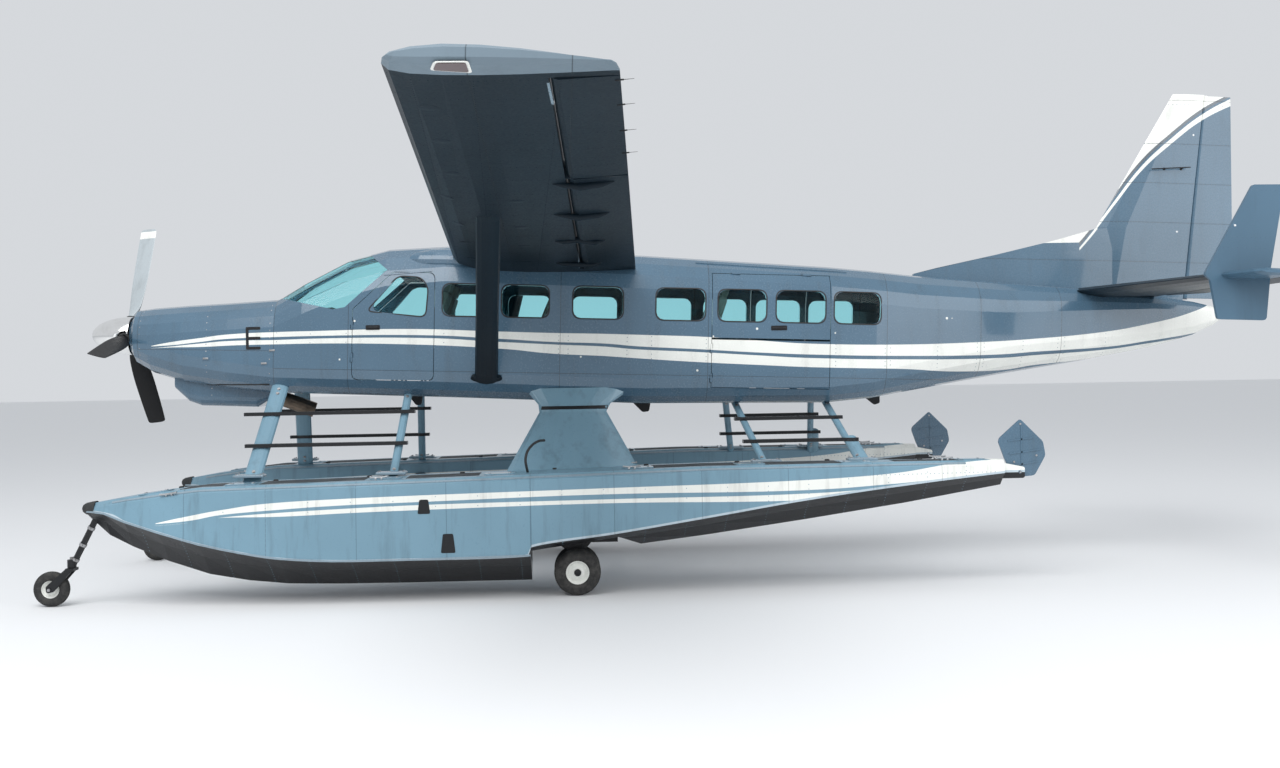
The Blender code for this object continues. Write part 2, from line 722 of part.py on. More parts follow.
def door_panels(common_wall):
    """Door panels as thick as the wall, with their windows cut."""
    doors = {}
    for name, prism in door_prisms(-SHUT_LINE).items():
        doors[name] = common(copy_of(common_wall), prism)
    for name, side in SIDES:
        cut(doors["crew_door_" + name], side_prism(rounded_polygon(CREW_WINDOW, 0.06), side))
    cut(doors["cargo_door_upper"], *window_prisms("door", -1, 0.0, WINDOWS))
    cut(doors["airstair_upper"], *window_prisms("door", 1, 0.0, STARBOARD_WINDOWS))
    return doors


def door_hinges():
    """Hinge line of each door: two points on the skin, along the edge that stays put."""
    crew_x = CREW_DOOR[0][0]
    crew_y = skin_y(crew_x, 0.0)
    cargo_front, cargo_rear = CARGO_DOOR_X
    stair_front, stair_rear = AIRSTAIR_X
    return {
        "crew_door_left": ((crew_x, -crew_y, -0.32), (crew_x, -crew_y, 0.25)),
        "crew_door_right": ((crew_x, crew_y, -0.32), (crew_x, crew_y, 0.25)),
        "cargo_door_upper": ((cargo_front, -skin_y(cargo_front, CARGO_TOP_Z), CARGO_TOP_Z),
                             (cargo_rear, -skin_y(cargo_rear, CARGO_TOP_Z), CARGO_TOP_Z)),
        "cargo_door_lower": ((cargo_front, -skin_y(cargo_front, 0.0), DOOR_SILL_Z),
                             (cargo_front, -skin_y(cargo_front, 0.0), CARGO_SPLIT_Z)),
        "airstair_upper": ((stair_front, skin_y(stair_front, CARGO_TOP_Z), CARGO_TOP_Z),
                           (stair_rear, skin_y(stair_rear, CARGO_TOP_Z), CARGO_TOP_Z)),
        "airstair_lower": ((stair_front, skin_y(stair_front, DOOR_SILL_Z), DOOR_SILL_Z),
                           (stair_rear, skin_y(stair_rear, DOOR_SILL_Z), DOOR_SILL_Z)),
    }


def add_knuckles(door, frame, start, end):
    """Two hinges on a door's hinge line: a knuckle on the door beside a knuckle on the frame."""
    start, end = Vector(start), Vector(end)
    length = (end - start).length
    along = (end - start) / length
    for share in (0.2, 0.8):
        middle = start + along * length * share
        door_span = (middle - along * KNUCKLE_LENGTH, middle - along * GAP / 2)
        frame_span = (middle + along * GAP / 2, middle + along * KNUCKLE_LENGTH)
        for other, (low, high) in ((frame, (door_span[0] - along * SHUT_LINE, door_span[1] + along * GAP)),
                                   (door, (frame_span[0] - along * GAP, frame_span[1] + along * SHUT_LINE))):
            cut(other, rod("relief", low, high, KNUCKLE_RADIUS + SHUT_LINE, sides=12))
        for own, (low, high) in ((door, door_span), (frame, frame_span)):
            join(own, rod("knuckle", low, high, KNUCKLE_RADIUS, sides=12))


DOOR_HINGES = door_hinges()


def build_glass(hinges):
    """Windscreen halves and window panes; the panes of one panel hang on a thin inner strip."""
    for name, side in SIDES:
        low, high = (POST_HALF + GAP, 1.1) if side > 0 else (-1.1, -POST_HALF - GAP)
        screen = plate("screen", grown(WINDSHIELD, -2 * GAP), low, high)
        pane = common(wall_layer(0.004, 0.004 + GLASS), screen)
        place(pane, "windshield_" + name, TINTED)

        outline = rounded_polygon(grown(CREW_WINDOW, -GAP), 0.06)
        pane = common(wall_layer(0.012, 0.012 + GLASS), side_prism(outline, side))
        place(pane, "crew_glass_" + name, TINTED, origin=hinges["crew_door_" + name])

    groups = (("cabin_glass_left", -1, "cabin", WINDOWS[:-1], None),
              ("cabin_glass_right", 1, "cabin", STARBOARD_WINDOWS[:-1], None),
              ("rear_glass_left", -1, "cabin", WINDOWS[-1:], None),
              ("rear_glass_right", 1, "cabin", STARBOARD_WINDOWS[-1:], None),
              ("cargo_glass", -1, "door", WINDOWS, "cargo_door_upper"),
              ("airstair_glass", 1, "door", STARBOARD_WINDOWS, "airstair_upper"))
    for name, side, kind, windows, carrier in groups:
        panes = [entry for entry in windows if entry[2] == kind]
        layer = wall_layer(0.012, WALL + 0.004)
        prisms = window_prisms(kind, side, -GAP, windows)
        block = prisms[0]
        for other in prisms[1:]:
            join(block, other)
        glass = common(layer, block)
        if len(panes) > 1:
            strip_x = (panes[0][0] - 0.02, panes[-1][1] + 0.02)
            if carrier:
                strip_x = (panes[0][0] + 0.02, panes[-1][1] - 0.02)
            strip = common(wall_layer(WALL + GAP, WALL + 0.008),
                           side_prism(rectangle(strip_x, (0.36, 0.46), 0), side))
            join(glass, strip)
        place(glass, name, TINTED, origin=hinges.get(carrier))


def build_cabin():
    """Seats on their rails, and the instrument panel with its two yokes."""
    floor = FLOOR_Z + GAP
    seats = box("rails", (-0.95, -0.50, floor), (3.20, -0.44, floor + 0.02))
    join(seats, box("rails", (-0.95, 0.44, floor), (3.20, 0.50, floor + 0.02)))
    for front in SEAT_ROWS:
        join(seats, box("cross", (front + 0.10, -0.50, floor), (front + 0.40, 0.50, floor + 0.02)))
        profile = rounded_polygon([(front + x, floor + z) for x, z in SEAT_PROFILE], 0.03, 2)
        for low, high in ((-0.66, -0.20), (0.20, 0.66)):
            join(seats, plate("seat", profile, low, high))
            join(seats, box("leg", (front + 0.12, low + 0.12, floor + 0.01),
                            (front + 0.34, high - 0.12, floor + 0.32)))
    place(seats, "cabin_seats", LEATHER)

    panel = box("panel", (-1.42, -0.62, -0.05), (-1.36, 0.62, 0.29))
    join(panel, plate("shade", ((-1.62, 0.255), (-1.62, 0.285), (-1.30, 0.325), (-1.28, 0.300)), -0.60, 0.60))
    join(panel, box("pedestal", (-1.60, -0.16, floor), (-1.38, 0.16, 0.10)))
    for side in (-1, 1):
        join(panel, rod("column", (-1.40, side * 0.38, 0.06), (-1.12, side * 0.38, 0.08), 0.016, sides=8))
        join(panel, box("yoke", (-1.14, side * 0.38 - 0.15, 0.05), (-1.11, side * 0.38 + 0.15, 0.09)))
        for end in (-1, 1):
            y = side * 0.38 + end * 0.14
            join(panel, box("grip", (-1.145, y - 0.017, 0.05), (-1.105, y + 0.017, 0.19)))
    cavity = [body_section(*station, inset=WALL + 2 * GAP) for station in FUSELAGE[:4]]
    cavity[0] = [(CABIN_FRONT_X + GAP, y, z) for _, y, z in cavity[0]]
    common(panel, loft("room", cavity))
    place(panel, "instrument_panel", PANEL)


def wing_blank(grow=0.0):
    """The whole wing with no cut-outs."""
    sections = []
    for y, shrink in ((SEMI_SPAN, 0.35), (SEMI_SPAN - 0.05, 0.75), (SEMI_SPAN - 0.16, 1.0), (ROOT_Y, 1.0)):
        sections.append(wing_section(-y, grow, shrink))
    for ring in list(reversed(sections)):
        sections.append([(x, -y, z) for x, y, z in ring])
    return loft("wing", sections)


def surface_ends(y_range):
    """Hinge point, nose radius and trailing edge point at both ends of a wing's control surface."""
    ends = []
    for y in y_range:
        _, _, chord, thickness, _ = wing_place(y)
        radius = chord * thickness * HINGE_SHARE
        hinge = wing_point(y, FLAP_START + radius / chord)
        trailing = wing_point(y, 1.0)
        ends.append((tuple(hinge), radius, tuple(trailing)))
    return ends


def add_pins(surface, ends, reach):
    """A hinge pin at each end of a surface, up to the wall that carries it."""
    first, last = Vector(ends[0][0]), Vector(ends[1][0])
    along = (last - first).normalized()
    join(surface, rod("pin", first - along * reach, first + along * 0.02, PIN_RADIUS, sides=12))
    join(surface, rod("pin", last - along * 0.02, last + along * reach, PIN_RADIUS, sides=12))


def build_wing():
    """Wing, ailerons and flaps."""
    wing = wing_blank()
    for name, side in SIDES:
        for kind, y_range in (("flap", FLAP_Y), ("aileron", AILERON_Y)):
            ends = surface_ends([side * y for y in y_range])
            surface = hinged_surface(kind, ends)
            inner_y, outer_y = side * (y_range[0] - AILERON_GAP), side * (y_range[1] + AILERON_GAP)
            (inner_hinge, inner_radius, _), (outer_hinge, outer_radius, _) = ends
            bay = ((inner_hinge[0] - inner_radius - SHUT_LINE, inner_y),
                   (outer_hinge[0] - outer_radius - SHUT_LINE, outer_y), (3.0, outer_y), (3.0, inner_y))
            cut(wing, plate("bay", bay, 0.3, 2.0, axis="Z"))
            add_pins(surface, ends, AILERON_GAP - 2 * GAP)
            origin = [(a + b) / 2 for a, b in zip(inner_hinge, outer_hinge)]
            place(surface, kind + "_" + name, WING_PAINT, origin=origin)
    place(wing, "wing", WING_PAINT)


def build_wing_struts():
    """The one lift strut under each wing, from the lower sill to mid span."""
    for name, side in SIDES:
        foot = Vector((WING_STRUT_X[0], side * 0.74, -0.44))
        head = Vector((WING_STRUT_X[1], side * STRUT_TOP_Y, 1.02))
        sections = [strut_section(foot.lerp(head, share), chord, thickness, head - foot)
                    for share, chord, thickness in WING_STRUT]
        lift_strut = cut(loft("lift_strut", sections), fuselage_solid("skin", -GAP), wing_blank(2 * GAP))
        place(largest_piece(lift_strut), "wing_strut_" + name, WING_PAINT)


def strut_section(centre, chord, thickness, run):
    """A flat streamlined section square to its run, long in X."""
    along = run.normalized()
    fore = (Vector((1, 0, 0)) - along * along.x).normalized()
    across = along.cross(fore)
    return [tuple(centre + fore * (math.cos(a) * chord / 2) + across * (math.sin(a) * thickness / 2))
            for a in (2 * math.pi * k / 12 for k in range(12))]


def largest_piece(item):
    """Keep only the largest of the loose pieces that a cut leaves."""
    bm = bmesh.new()
    bm.from_mesh(item.data)
    bm.verts.ensure_lookup_table()
    seen, islands = set(), []
    for vert in bm.verts:
        if vert in seen:
            continue
        stack, island = [vert], []
        seen.add(vert)
        while stack:
            here = stack.pop()
            island.append(here)
            for edge in here.link_edges:
                other = edge.other_vert(here)
                if other not in seen:
                    seen.add(other)
                    stack.append(other)
        islands.append(island)

    def spread(island):
        return sum(max(v.co[i] for v in island) - min(v.co[i] for v in island) for i in range(3))

    keep = max(islands, key=spread)
    bmesh.ops.delete(bm, geom=[v for island in islands if island is not keep for v in island], context="VERTS")
    bm.to_mesh(item.data)
    bm.free()
    return item


# Fin stations: z, leading edge x, hinge x, trailing edge x, thickness
FIN = (
    (0.600, 7.020, 8.230, 8.790, 0.140),
    (1.430, 7.180, 8.300, 8.790, 0.120),
    (2.970, 8.045, 8.430, 8.720, 0.065),
)
RUDDER_Z = (0.645, 2.955)
# Dorsal fillet in side view: x, z, half width
DORSAL = (
    (5.000, 0.700, 0.030),
    (5.079, 0.860, 0.032),
    (5.339, 0.930, 0.038),
    (6.021, 1.095, 0.035),
    (6.706, 1.275, 0.038),
    (7.163, 1.415, 0.040),
    (7.350, 1.430, 0.040),
    (7.350, 0.600, 0.080),
)
# Share of the chord and of the half thickness, from the hinge to the leading edge
TAIL_AIRFOIL = ((1.0, 0.30), (0.6, 0.46), (0.3, 0.50), (0.1, 0.33), (0.0, 0.04))
HINGE_SHARE = 0.30


def tail_section(x_front, x_rear, thickness, grow=0.0):
    """Chord and offset of a tail section: round leading edge, thickest at a third, flat at the hinge."""
    half = [(x_front + (x_rear - x_front) * share, part * thickness + grow) for share, part in TAIL_AIRFOIL]
    half[0] = (half[0][0] + grow, half[0][1])
    half[-1] = (half[-1][0] - grow, half[-1][1])
    return half + [(x, -offset) for x, offset in reversed(half)]


def fin_blank():
    """Vertical fin with its dorsal fillet, with no rudder."""
    sections = []
    for z, x_front, x_hinge, _, thickness in FIN:
        x_rear = x_hinge - thickness * HINGE_SHARE - SHUT_LINE
        sections.append([(x, y, z) for x, y in tail_section(x_front, x_rear, thickness)])
    dorsal = loft("dorsal", [[(x, side * half, z) for x, z, half in DORSAL] for side in (-1, 1)])
    return cut(join(loft("fin", sections), dorsal), box("below", (4, -1, -1), (9, 1, 0.62)))


# Stabilizer stations: y, leading edge x, thickness
STABILIZER = (
    (0.0, 6.860, 0.130),
    (0.35, 6.926, 0.128),
    (2.60, 7.345, 0.080),
    (3.06, 7.430, 0.068),
    (3.12, 7.480, 0.030),
)
FINLET = ((7.185, 0.690), (7.245, 0.640), (7.320, 0.270), (7.795, 0.268), (7.822, 0.640), (7.825, 0.740),
          (7.950, 1.560), (7.640, 1.550))


def stabilizer_blank(grow=0.0):
    """Horizontal stabilizer, ahead of the elevators' hinge line."""
    sections = []
    for side, stations in ((-1, reversed(STABILIZER)), (1, STABILIZER[1:])):
        for y, x_front, thickness in stations:
            x_rear = ELEVATOR_HINGE_X - thickness * HINGE_SHARE - SHUT_LINE
            sections.append([(x, side * y, STAB_Z + offset)
                             for x, offset in tail_section(x_front, x_rear, thickness, grow)])
    return loft("stabilizer", sections)


def build_tail():
    """Fin, rudder, stabilizer with its two finlets, and the elevators."""
    fin = largest_piece(cut(fin_blank(), fuselage_solid("skin", -GAP), stabilizer_blank(2.5 * GAP)))
    ends = []
    for z, (_, _, x_hinge, x_rear, thickness) in ((RUDDER_Z[0], FIN[0]), (RUDDER_Z[1], FIN[-1])):
        ends.append(((x_hinge, 0, z), thickness * HINGE_SHARE, (x_rear, 0, z)))
    foot_x, _, foot_z = ends[0][0]
    head_x, _, head_z = ends[1][0]
    foot_top, head_bottom = foot_z - RAKED_GAP, head_z + RAKED_GAP
    join(fin, box("foot_lug", (foot_x - 0.08, -0.012, foot_top - 0.012), (foot_x + 0.02, 0.012, foot_top)),
         box("head_lug", (head_x - 0.12, -0.010, head_bottom), (head_x + 0.015, 0.010, head_bottom + 0.008)))
    place(fin, "vertical_fin", PAINT)
    rudder = hinged_surface("rudder", ends)
    place(rudder, "rudder", PAINT, origin=ends[0][0])

    stabilizer = stabilizer_blank()
    for name, side in SIDES:
        outline = rounded_polygon(FINLET, 0.03, 2)
        join(stabilizer, plate("finlet", outline, side * FINLET_Y - 0.020, side * FINLET_Y + 0.020))
        for y, push, reach in ((ELEVATOR_Y[0], -1, 0.020), (ELEVATOR_Y[1], 1, 0.014)):
            low, high = sorted((side * (y + push * GAP), side * (y + push * (GAP + 0.010))))
            join(stabilizer, box("lug", (ELEVATOR_HINGE_X - 0.10, low, STAB_Z - reach / 2),
                                 (ELEVATOR_HINGE_X + reach, high, STAB_Z + reach / 2)))
    place(stabilizer, "stabilizer", WING_PAINT)
    for name, side in SIDES:
        ends = []
        for y, thickness in zip(ELEVATOR_Y, ELEVATOR_THICKNESS):
            ends.append(((ELEVATOR_HINGE_X, side * y, STAB_Z), thickness * HINGE_SHARE,
                         (ELEVATOR_TE_X, side * y, STAB_Z)))
        elevator = hinged_surface("elevator", ends)
        origin = (ELEVATOR_HINGE_X, side * 1.7, STAB_Z)
        place(elevator, "elevator_" + name, WING_PAINT, origin=origin)


# Blade stations: share of the radius, chord, thickness, shift aft, pitch from feather in degrees
BLADE_STATIONS = (
    (0.06, 0.095, 0.090, -0.014, 30),
    (0.17, 0.095, 0.080, -0.014, 30),
    (0.26, 0.165, 0.050, 0.006, 29),
    (0.45, 0.200, 0.034, 0.020, 25),
    (0.70, 0.200, 0.024, 0.034, 20),
    (0.93, 0.190, 0.016, 0.046, 15),
    (0.99, 0.176, 0.012, 0.048, 14),
    (1.00, 0.120, 0.008, 0.050, 14),
)


BLADE_ANGLES = [2 * math.pi * i / 12 for i in range(12)]
# Spinner shell, outside then inside: radius, distance ahead of its back edge
SPINNER = (
    (0.000, 0.440), (0.050, 0.425), (0.110, 0.370), (0.160, 0.280), (0.195, 0.160), (0.210, 0.000),
    (0.204, 0.000), (0.188, 0.158), (0.153, 0.275), (0.103, 0.362), (0.045, 0.415), (0.000, 0.428),
)


def build_propeller():
    """Spinner shell, and the hub with its three feathered blades."""
    spinner = turned("spinner", SPINNER, (0, 0, 0), 24)
    spinner.data.transform(Matrix.Translation((HUB_X + 0.045, 0, 0)) @ Matrix.Rotation(math.pi / 2, 4, "Z"))
    hub = rod("hub", (HUB_X - 0.10, 0, 0), (HUB_REAR_X, 0, 0), 0.120, sides=24)
    join(hub, rod("backplate", (HUB_REAR_X - 0.010, 0, 0), (HUB_REAR_X, 0, 0), 0.2015, sides=24))
    for k in range(BLADE_COUNT):
        angle = math.pi + PORT_BLADE_DROOP + 2 * math.pi * k / BLADE_COUNT
        along = Vector((0, math.cos(angle), math.sin(angle)))
        flat = Vector((1, 0, 0)).cross(along)
        sections = []
        for share, chord, thickness, shift, pitch in BLADE_STATIONS:
            turn = math.radians(pitch)
            fore = Vector((1, 0, 0)) * math.cos(turn) + flat * math.sin(turn)
            across = along.cross(fore)
            centre = Vector((BLADE_ROOT_X + shift, 0, 0)) + along * share * BLADE_RADIUS
            sections.append([tuple(centre + fore * (math.cos(angle) * chord / 2)
                                   + across * (math.sin(angle) * thickness / 2)) for angle in BLADE_ANGLES])
        join(hub, loft("blade", sections))
        root = Vector((BLADE_ROOT_X, 0, 0))
        cut(spinner, rod("root_hole", root + along * 0.12, root + along * 0.30, 0.085, sides=20))
    place(spinner, "spinner", CHROME, origin=(HUB_X, 0, 0))
    place(hub, "propeller_blades", BLADE, origin=(HUB_X, 0, 0))


# Float stations: x, keel z, chine z, deck z, half width at the chine, half width at the deck
FORE_HULL = (
    (-3.500, 0.870, 0.905, 0.985, 0.050, 0.050),
    (-3.300, 0.680, 0.890, 1.020, 0.170, 0.150),
    (-3.080, 0.562, 0.812, 1.055, 0.255, 0.225),
    (-2.740, 0.412, 0.708, 1.100, 0.335, 0.295),
    (-2.350, 0.276, 0.596, 1.140, 0.400, 0.360),
    (-1.970, 0.205, 0.512, 1.149, 0.430, 0.400),
    (-1.590, 0.164, 0.449, 1.157, 0.450, 0.420),
    (-1.100, 0.150, 0.416, 1.167, 0.458, 0.434),
    (-0.500, 0.144, 0.412, 1.177, 0.460, 0.440),
    (0.770, 0.140, 0.425, 1.203, 0.460, 0.440),
)
AFTER_HULL = (
    (0.700, 0.320, 0.500, 1.202, 0.450, 0.438),
    (1.600, 0.440, 0.615, 1.222, 0.430, 0.420),
    (2.500, 0.542, 0.745, 1.239, 0.390, 0.380),
    (3.500, 0.673, 0.890, 1.238, 0.330, 0.320),
    (4.500, 0.814, 1.005, 1.237, 0.250, 0.245),
    (5.480, 0.975, 1.095, 1.232, 0.150, 0.150),
)


def hull_section(x, keel_z, chine_z, deck_z, chine_half, deck_half):
    """A hard-chine hull section with a flat deck, about the float's middle."""
    half = [(chine_half * 0.55, keel_z + (chine_z - keel_z) * 0.62), (chine_half, chine_z),
            (chine_half, chine_z + 0.02), (deck_half, deck_z - 0.05), (deck_half - 0.05, deck_z)]
    return [(x, 0, keel_z)] + [(x, y, z) for y, z in half] + [(x, -y, z) for y, z in reversed(half)]


def moved(item, vector):
    """Shift a working solid."""
    item.data.transform(Matrix.Translation(vector))
    return item


def float_solid():
    """One float about the middle plane, with its wheel well, bow bumper and rudder ears."""
    hull = loft("hull", [hull_section(*station) for station in FORE_HULL])
    join(hull, loft("after", [hull_section(*station) for station in AFTER_HULL]))
    well = ((STEP_X + 0.005, 0.0), (STEP_X + 0.005, WELL_TOP_Z), (WELL_REAR_X, WELL_TOP_Z),
            (WELL_REAR_X, 0.573), (1.885, 0.453), (1.885, 0.0))
    cut(hull, plate("well", well, -0.31, 0.31))
    # Ears that hold the water rudder's pin
    pivot_x, pivot_z = WATER_RUDDER_PIVOT
    outline = rounded_polygon(((5.42, 1.04), (pivot_x + 0.05, pivot_z - 0.06),
                               (pivot_x + 0.05, pivot_z + 0.05), (5.42, 1.21)), 0.02, 2)
    for low, high in ((-0.068, -0.048), (0.048, 0.068)):
        ear = plate("ear", outline, low, high)
        cut(ear, rod("pin_hole", (pivot_x, -0.2, pivot_z), (pivot_x, 0.2, pivot_z), 0.0165, sides=12))
        join(hull, ear)
    return join(hull, bow_bumper())


def build_floats(hull):
    """Both floats, and the water rudders on their sterns."""
    pivot_x, pivot_z = WATER_RUDDER_PIVOT
    for name, side in SIDES:
        y = side * FLOAT_Y
        place(moved(copy_of(hull), (0, y, 0)), "float_" + name, FLOAT_PAINT, GROUND)
        blade = plate("blade", rounded_polygon(WATER_RUDDER, 0.04, 3), y - 0.010, y + 0.010)
        barrel = rod("barrel", (pivot_x, y - 0.0475, pivot_z), (pivot_x, y + 0.0475, pivot_z), 0.032, sides=16)
        pin = rod("pin", (pivot_x, y - 0.074, pivot_z), (pivot_x, y + 0.074, pivot_z), 0.0155, sides=12)
        join(blade, barrel, pin)
        place(blade, "water_rudder_" + name, PAINT, GROUND, origin=(pivot_x, y, pivot_z))


def bow_bumper():
    """A round-nosed rubber block over the float's bow."""
    sections = []
    for x, half, low, high in BOW_BUMPER:
        sections.append([(x, half * math.cos(a), (low + high) / 2 + (high - low) / 2 * math.sin(a))
                         for a in (2 * math.pi * k / 12 for k in range(12))])
    return loft("bumper", sections)


def build_struts(hull):
    """Front and rear strut pairs with their step rungs, centre pylons and spreader bars."""
    for name, side in SIDES:
        front = strut("front", (-2.014, side * 1.45, 1.10), (-1.866, side * 0.52, 2.16), 0.178, 0.065)
        join(front, strut("second", (-0.616, side * 1.45, 1.10), (-0.520, side * 0.52, 2.10), 0.085, 0.075))
        for z, x_low, x_high in FRONT_RUNGS:
            join(front, rung(side * (1.45 - (z - 1.15) / 0.95 * 0.88), z, x_low, x_high))
        finish_strut(front, "front_struts_" + name, hull, side, FLOAT_PAINT)

        rear = strut("rear", (3.150, side * 1.45, 1.18), (2.950, side * 0.30, 1.90), 0.075, 0.065)
        join(rear, strut("last", (4.131, side * 1.45, 1.18), (3.940, side * 0.30, 1.90), 0.075, 0.065))
        join(rear, strut("boot", (4.175, side * 1.47, 1.18), (4.100, side * 1.05, 1.440), 0.130, 0.080))
        for z, x_low, x_high in REAR_RUNGS:
            join(rear, rung(side * (1.45 - (z - 1.18) / 0.72 * 1.15), z, x_low, x_high))
        finish_strut(rear, "rear_struts_" + name, hull, side, BLACK)

        sections = []
        for z, y, x_front, x_rear, thickness in PYLON:
            middle, half = (x_front + x_rear) / 2, (x_rear - x_front) / 2
            sections.append([(middle + half * math.cos(a), side * (y + thickness / 2 * math.sin(a)), z)
                             for a in (2 * math.pi * k / 16 for k in range(16))])
        finish_strut(loft("pylon", sections), "pylon_" + name, hull, side, FLOAT_PAINT)

    for name, x in SPREADERS:
        bar = strut("bar", (x, -1.60, SPREADER_Z), (x, 1.60, SPREADER_Z), 0.16, 0.06)
        for side in (-1, 1):
            cut(bar, moved(copy_of(hull), (0, side * (FLOAT_Y - GAP), 0)))
        place(largest_piece(bar), name, BLACK, GROUND)


def rung(y, z, x_low, x_high):
    """A flat step across a pair of struts."""
    return box("rung", (x_low, y - 0.055, z - 0.018), (x_high, y + 0.055, z + 0.018))


def strut(name, foot, head, chord, thickness):
    """A straight streamlined strut between two points, long in X."""
    foot, head = Vector(foot), Vector(head)
    return loft(name, [strut_section(point, chord, thickness, head - foot) for point in (foot, head)])


def finish_strut(item, name, hull, side, material):
    """Trim a strut to the float's deck and the fuselage's skin."""
    cut(item, moved(copy_of(hull), (0, side * FLOAT_Y, GAP)))
    skin = fuselage_solid("skin", -GAP)
    overlap = (COWL[-1][0] + 0.05,) + COWL[-1][1:]
    cowl = loft("cowl_skin", [body_section(*s, inset=-GAP) for s in COWL[2:] + (overlap,)])
    for solid in (skin, cowl):
        solid.data.transform(GROUND_TO_AIRFRAME)
    cut(item, skin, cowl)
    place(largest_piece(item), name, material, GROUND)


def both_halves(half):
    """A wheel's whole profile from its outer half."""
    return list(half) + [(radius, -across) for radius, across in reversed(half)]


def build_gear(hull):
    """Main wheels on their legs in the float wells, and castering nose wheels."""
    wheel_x, _, wheel_z = MAIN_WHEEL
    nose_x, _, nose_z = NOSE_WHEEL
    leg_outline = rounded_polygon(((wheel_x - 0.075, wheel_z - 0.07), (wheel_x + 0.075, wheel_z - 0.07),
                                   (wheel_x + 0.10, WELL_TOP_Z - GAP, 0),
                                   (wheel_x - 0.12, WELL_TOP_Z - GAP, 0)), 0.06)
    cheek_outline = rounded_polygon(((-3.63, 0.365), (-3.70, 0.372), (nose_x - 0.035, nose_z + 0.03),
                                     (nose_x - 0.03, nose_z - 0.035), (nose_x + 0.04, nose_z - 0.02)), 0.02, 2)
    for name, side in SIDES:
        y = side * FLOAT_Y
        wheels = turned("wheels", both_halves(MAIN_WHEEL_HALF), (wheel_x, y, wheel_z), WHEEL_STEPS)
        place(wheels, "main_wheels_" + name, RUBBER, GROUND, origin=(wheel_x, y, wheel_z))
        leg = plate("leg", leg_outline, y - MAIN_LEG_HALF, y + MAIN_LEG_HALF)
        hole = rod("axle_hole", (wheel_x, y - 0.3, wheel_z), (wheel_x, y + 0.3, wheel_z), AXLE_BORE, sides=20)
        cut(leg, hole)
        join(leg, box("beam", (STEP_X + 0.0053, y - MAIN_LEG_HALF, 0.50),
                      (WELL_REAR_X - GAP, y + MAIN_LEG_HALF, 0.62)))
        place(leg, "main_leg_" + name, BLACK, GROUND)

        arm = rod("arm", (-3.400, y, 0.900), (-3.655, y, 0.400), 0.030, sides=12)
        join(arm, rod("knuckle", (SWIVEL_X, y, 0.375), (SWIVEL_X, y, 0.450), 0.042, sides=16))
        cut(arm, moved(copy_of(hull), (-GAP, y, -GAP)))
        place(largest_piece(arm), "nose_leg_" + name, BLACK, GROUND)
        fork = rod("swivel", (SWIVEL_X, y, 0.345), (SWIVEL_X, y, 0.3745), 0.036, sides=16)
        for low, high in ((-0.072, -0.058), (0.058, 0.072)):
            join(fork, plate("cheek", cheek_outline, y + low, y + high))
        join(fork, box("crown", (-3.71, y - 0.072, 0.344), (-3.63, y + 0.072, 0.370)))
        cut(fork, rod("axle_hole", (nose_x, y - 0.2, nose_z), (nose_x, y + 0.2, nose_z), 0.0125, sides=12))
        place(fork, "nose_fork_" + name, BLACK, GROUND, origin=(SWIVEL_X, y, 0.37))
        wheel = turned("wheel", both_halves(NOSE_WHEEL_HALF), (nose_x, y, nose_z), WHEEL_STEPS)
        place(wheel, "nose_wheel_" + name, RUBBER, GROUND, origin=(nose_x, y, nose_z))


# From the airframe's own frame to the level frame over the ground
GROUND_TO_AIRFRAME = (Matrix.Translation((DATUM_X - WING_DATUM_X, 0, DATUM_Z))
                      @ Matrix.Rotation(NOSE_UP, 4, "Y"))

build_cowl()
build_engine()
build_fuselage()
build_cabin()
build_wing()
build_wing_struts()
build_tail()
build_propeller()
HULL = float_solid()
build_floats(HULL)
build_struts(HULL)
build_gear(HULL)
bpy.data.objects.remove(HULL, do_unlink=True)
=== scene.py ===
"""Dress the packed floatplane: its paint, glass, trim, fittings, wheels, propeller and cabin."""

import json
import math

import bmesh
import bpy
from bpy.props import FloatProperty, FloatVectorProperty, IntProperty, PointerProperty
from mathutils import Matrix, Vector
from mathutils.bvhtree import BVHTree

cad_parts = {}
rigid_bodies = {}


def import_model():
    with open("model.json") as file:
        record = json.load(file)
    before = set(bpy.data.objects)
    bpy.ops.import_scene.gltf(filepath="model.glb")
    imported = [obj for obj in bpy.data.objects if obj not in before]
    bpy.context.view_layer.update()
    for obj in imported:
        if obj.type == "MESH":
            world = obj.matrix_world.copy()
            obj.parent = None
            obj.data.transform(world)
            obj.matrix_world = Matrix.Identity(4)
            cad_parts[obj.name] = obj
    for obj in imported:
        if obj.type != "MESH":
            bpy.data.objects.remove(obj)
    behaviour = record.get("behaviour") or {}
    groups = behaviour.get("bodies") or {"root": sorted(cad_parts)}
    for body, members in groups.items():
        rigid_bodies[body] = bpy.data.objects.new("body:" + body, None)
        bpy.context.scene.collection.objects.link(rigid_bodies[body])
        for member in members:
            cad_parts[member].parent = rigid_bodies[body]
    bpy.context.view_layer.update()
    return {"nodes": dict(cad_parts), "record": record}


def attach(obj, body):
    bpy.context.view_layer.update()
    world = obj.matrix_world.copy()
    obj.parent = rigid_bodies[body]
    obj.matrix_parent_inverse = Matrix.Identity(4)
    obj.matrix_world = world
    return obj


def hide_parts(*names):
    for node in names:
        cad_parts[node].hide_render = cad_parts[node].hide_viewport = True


bl_info = {
    "name": "Floatplane finish",
    "version": (1, 0, 0),
    "blender": (4, 5, 0),
    "location": "View3D > Sidebar > Floatplane",
    "description": "Paint, glass, fittings, wheels, propeller and cabin of a floatplane",
    "category": "Object",
}

for start_object in list(bpy.data.objects):
    bpy.data.objects.remove(start_object)
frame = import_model()

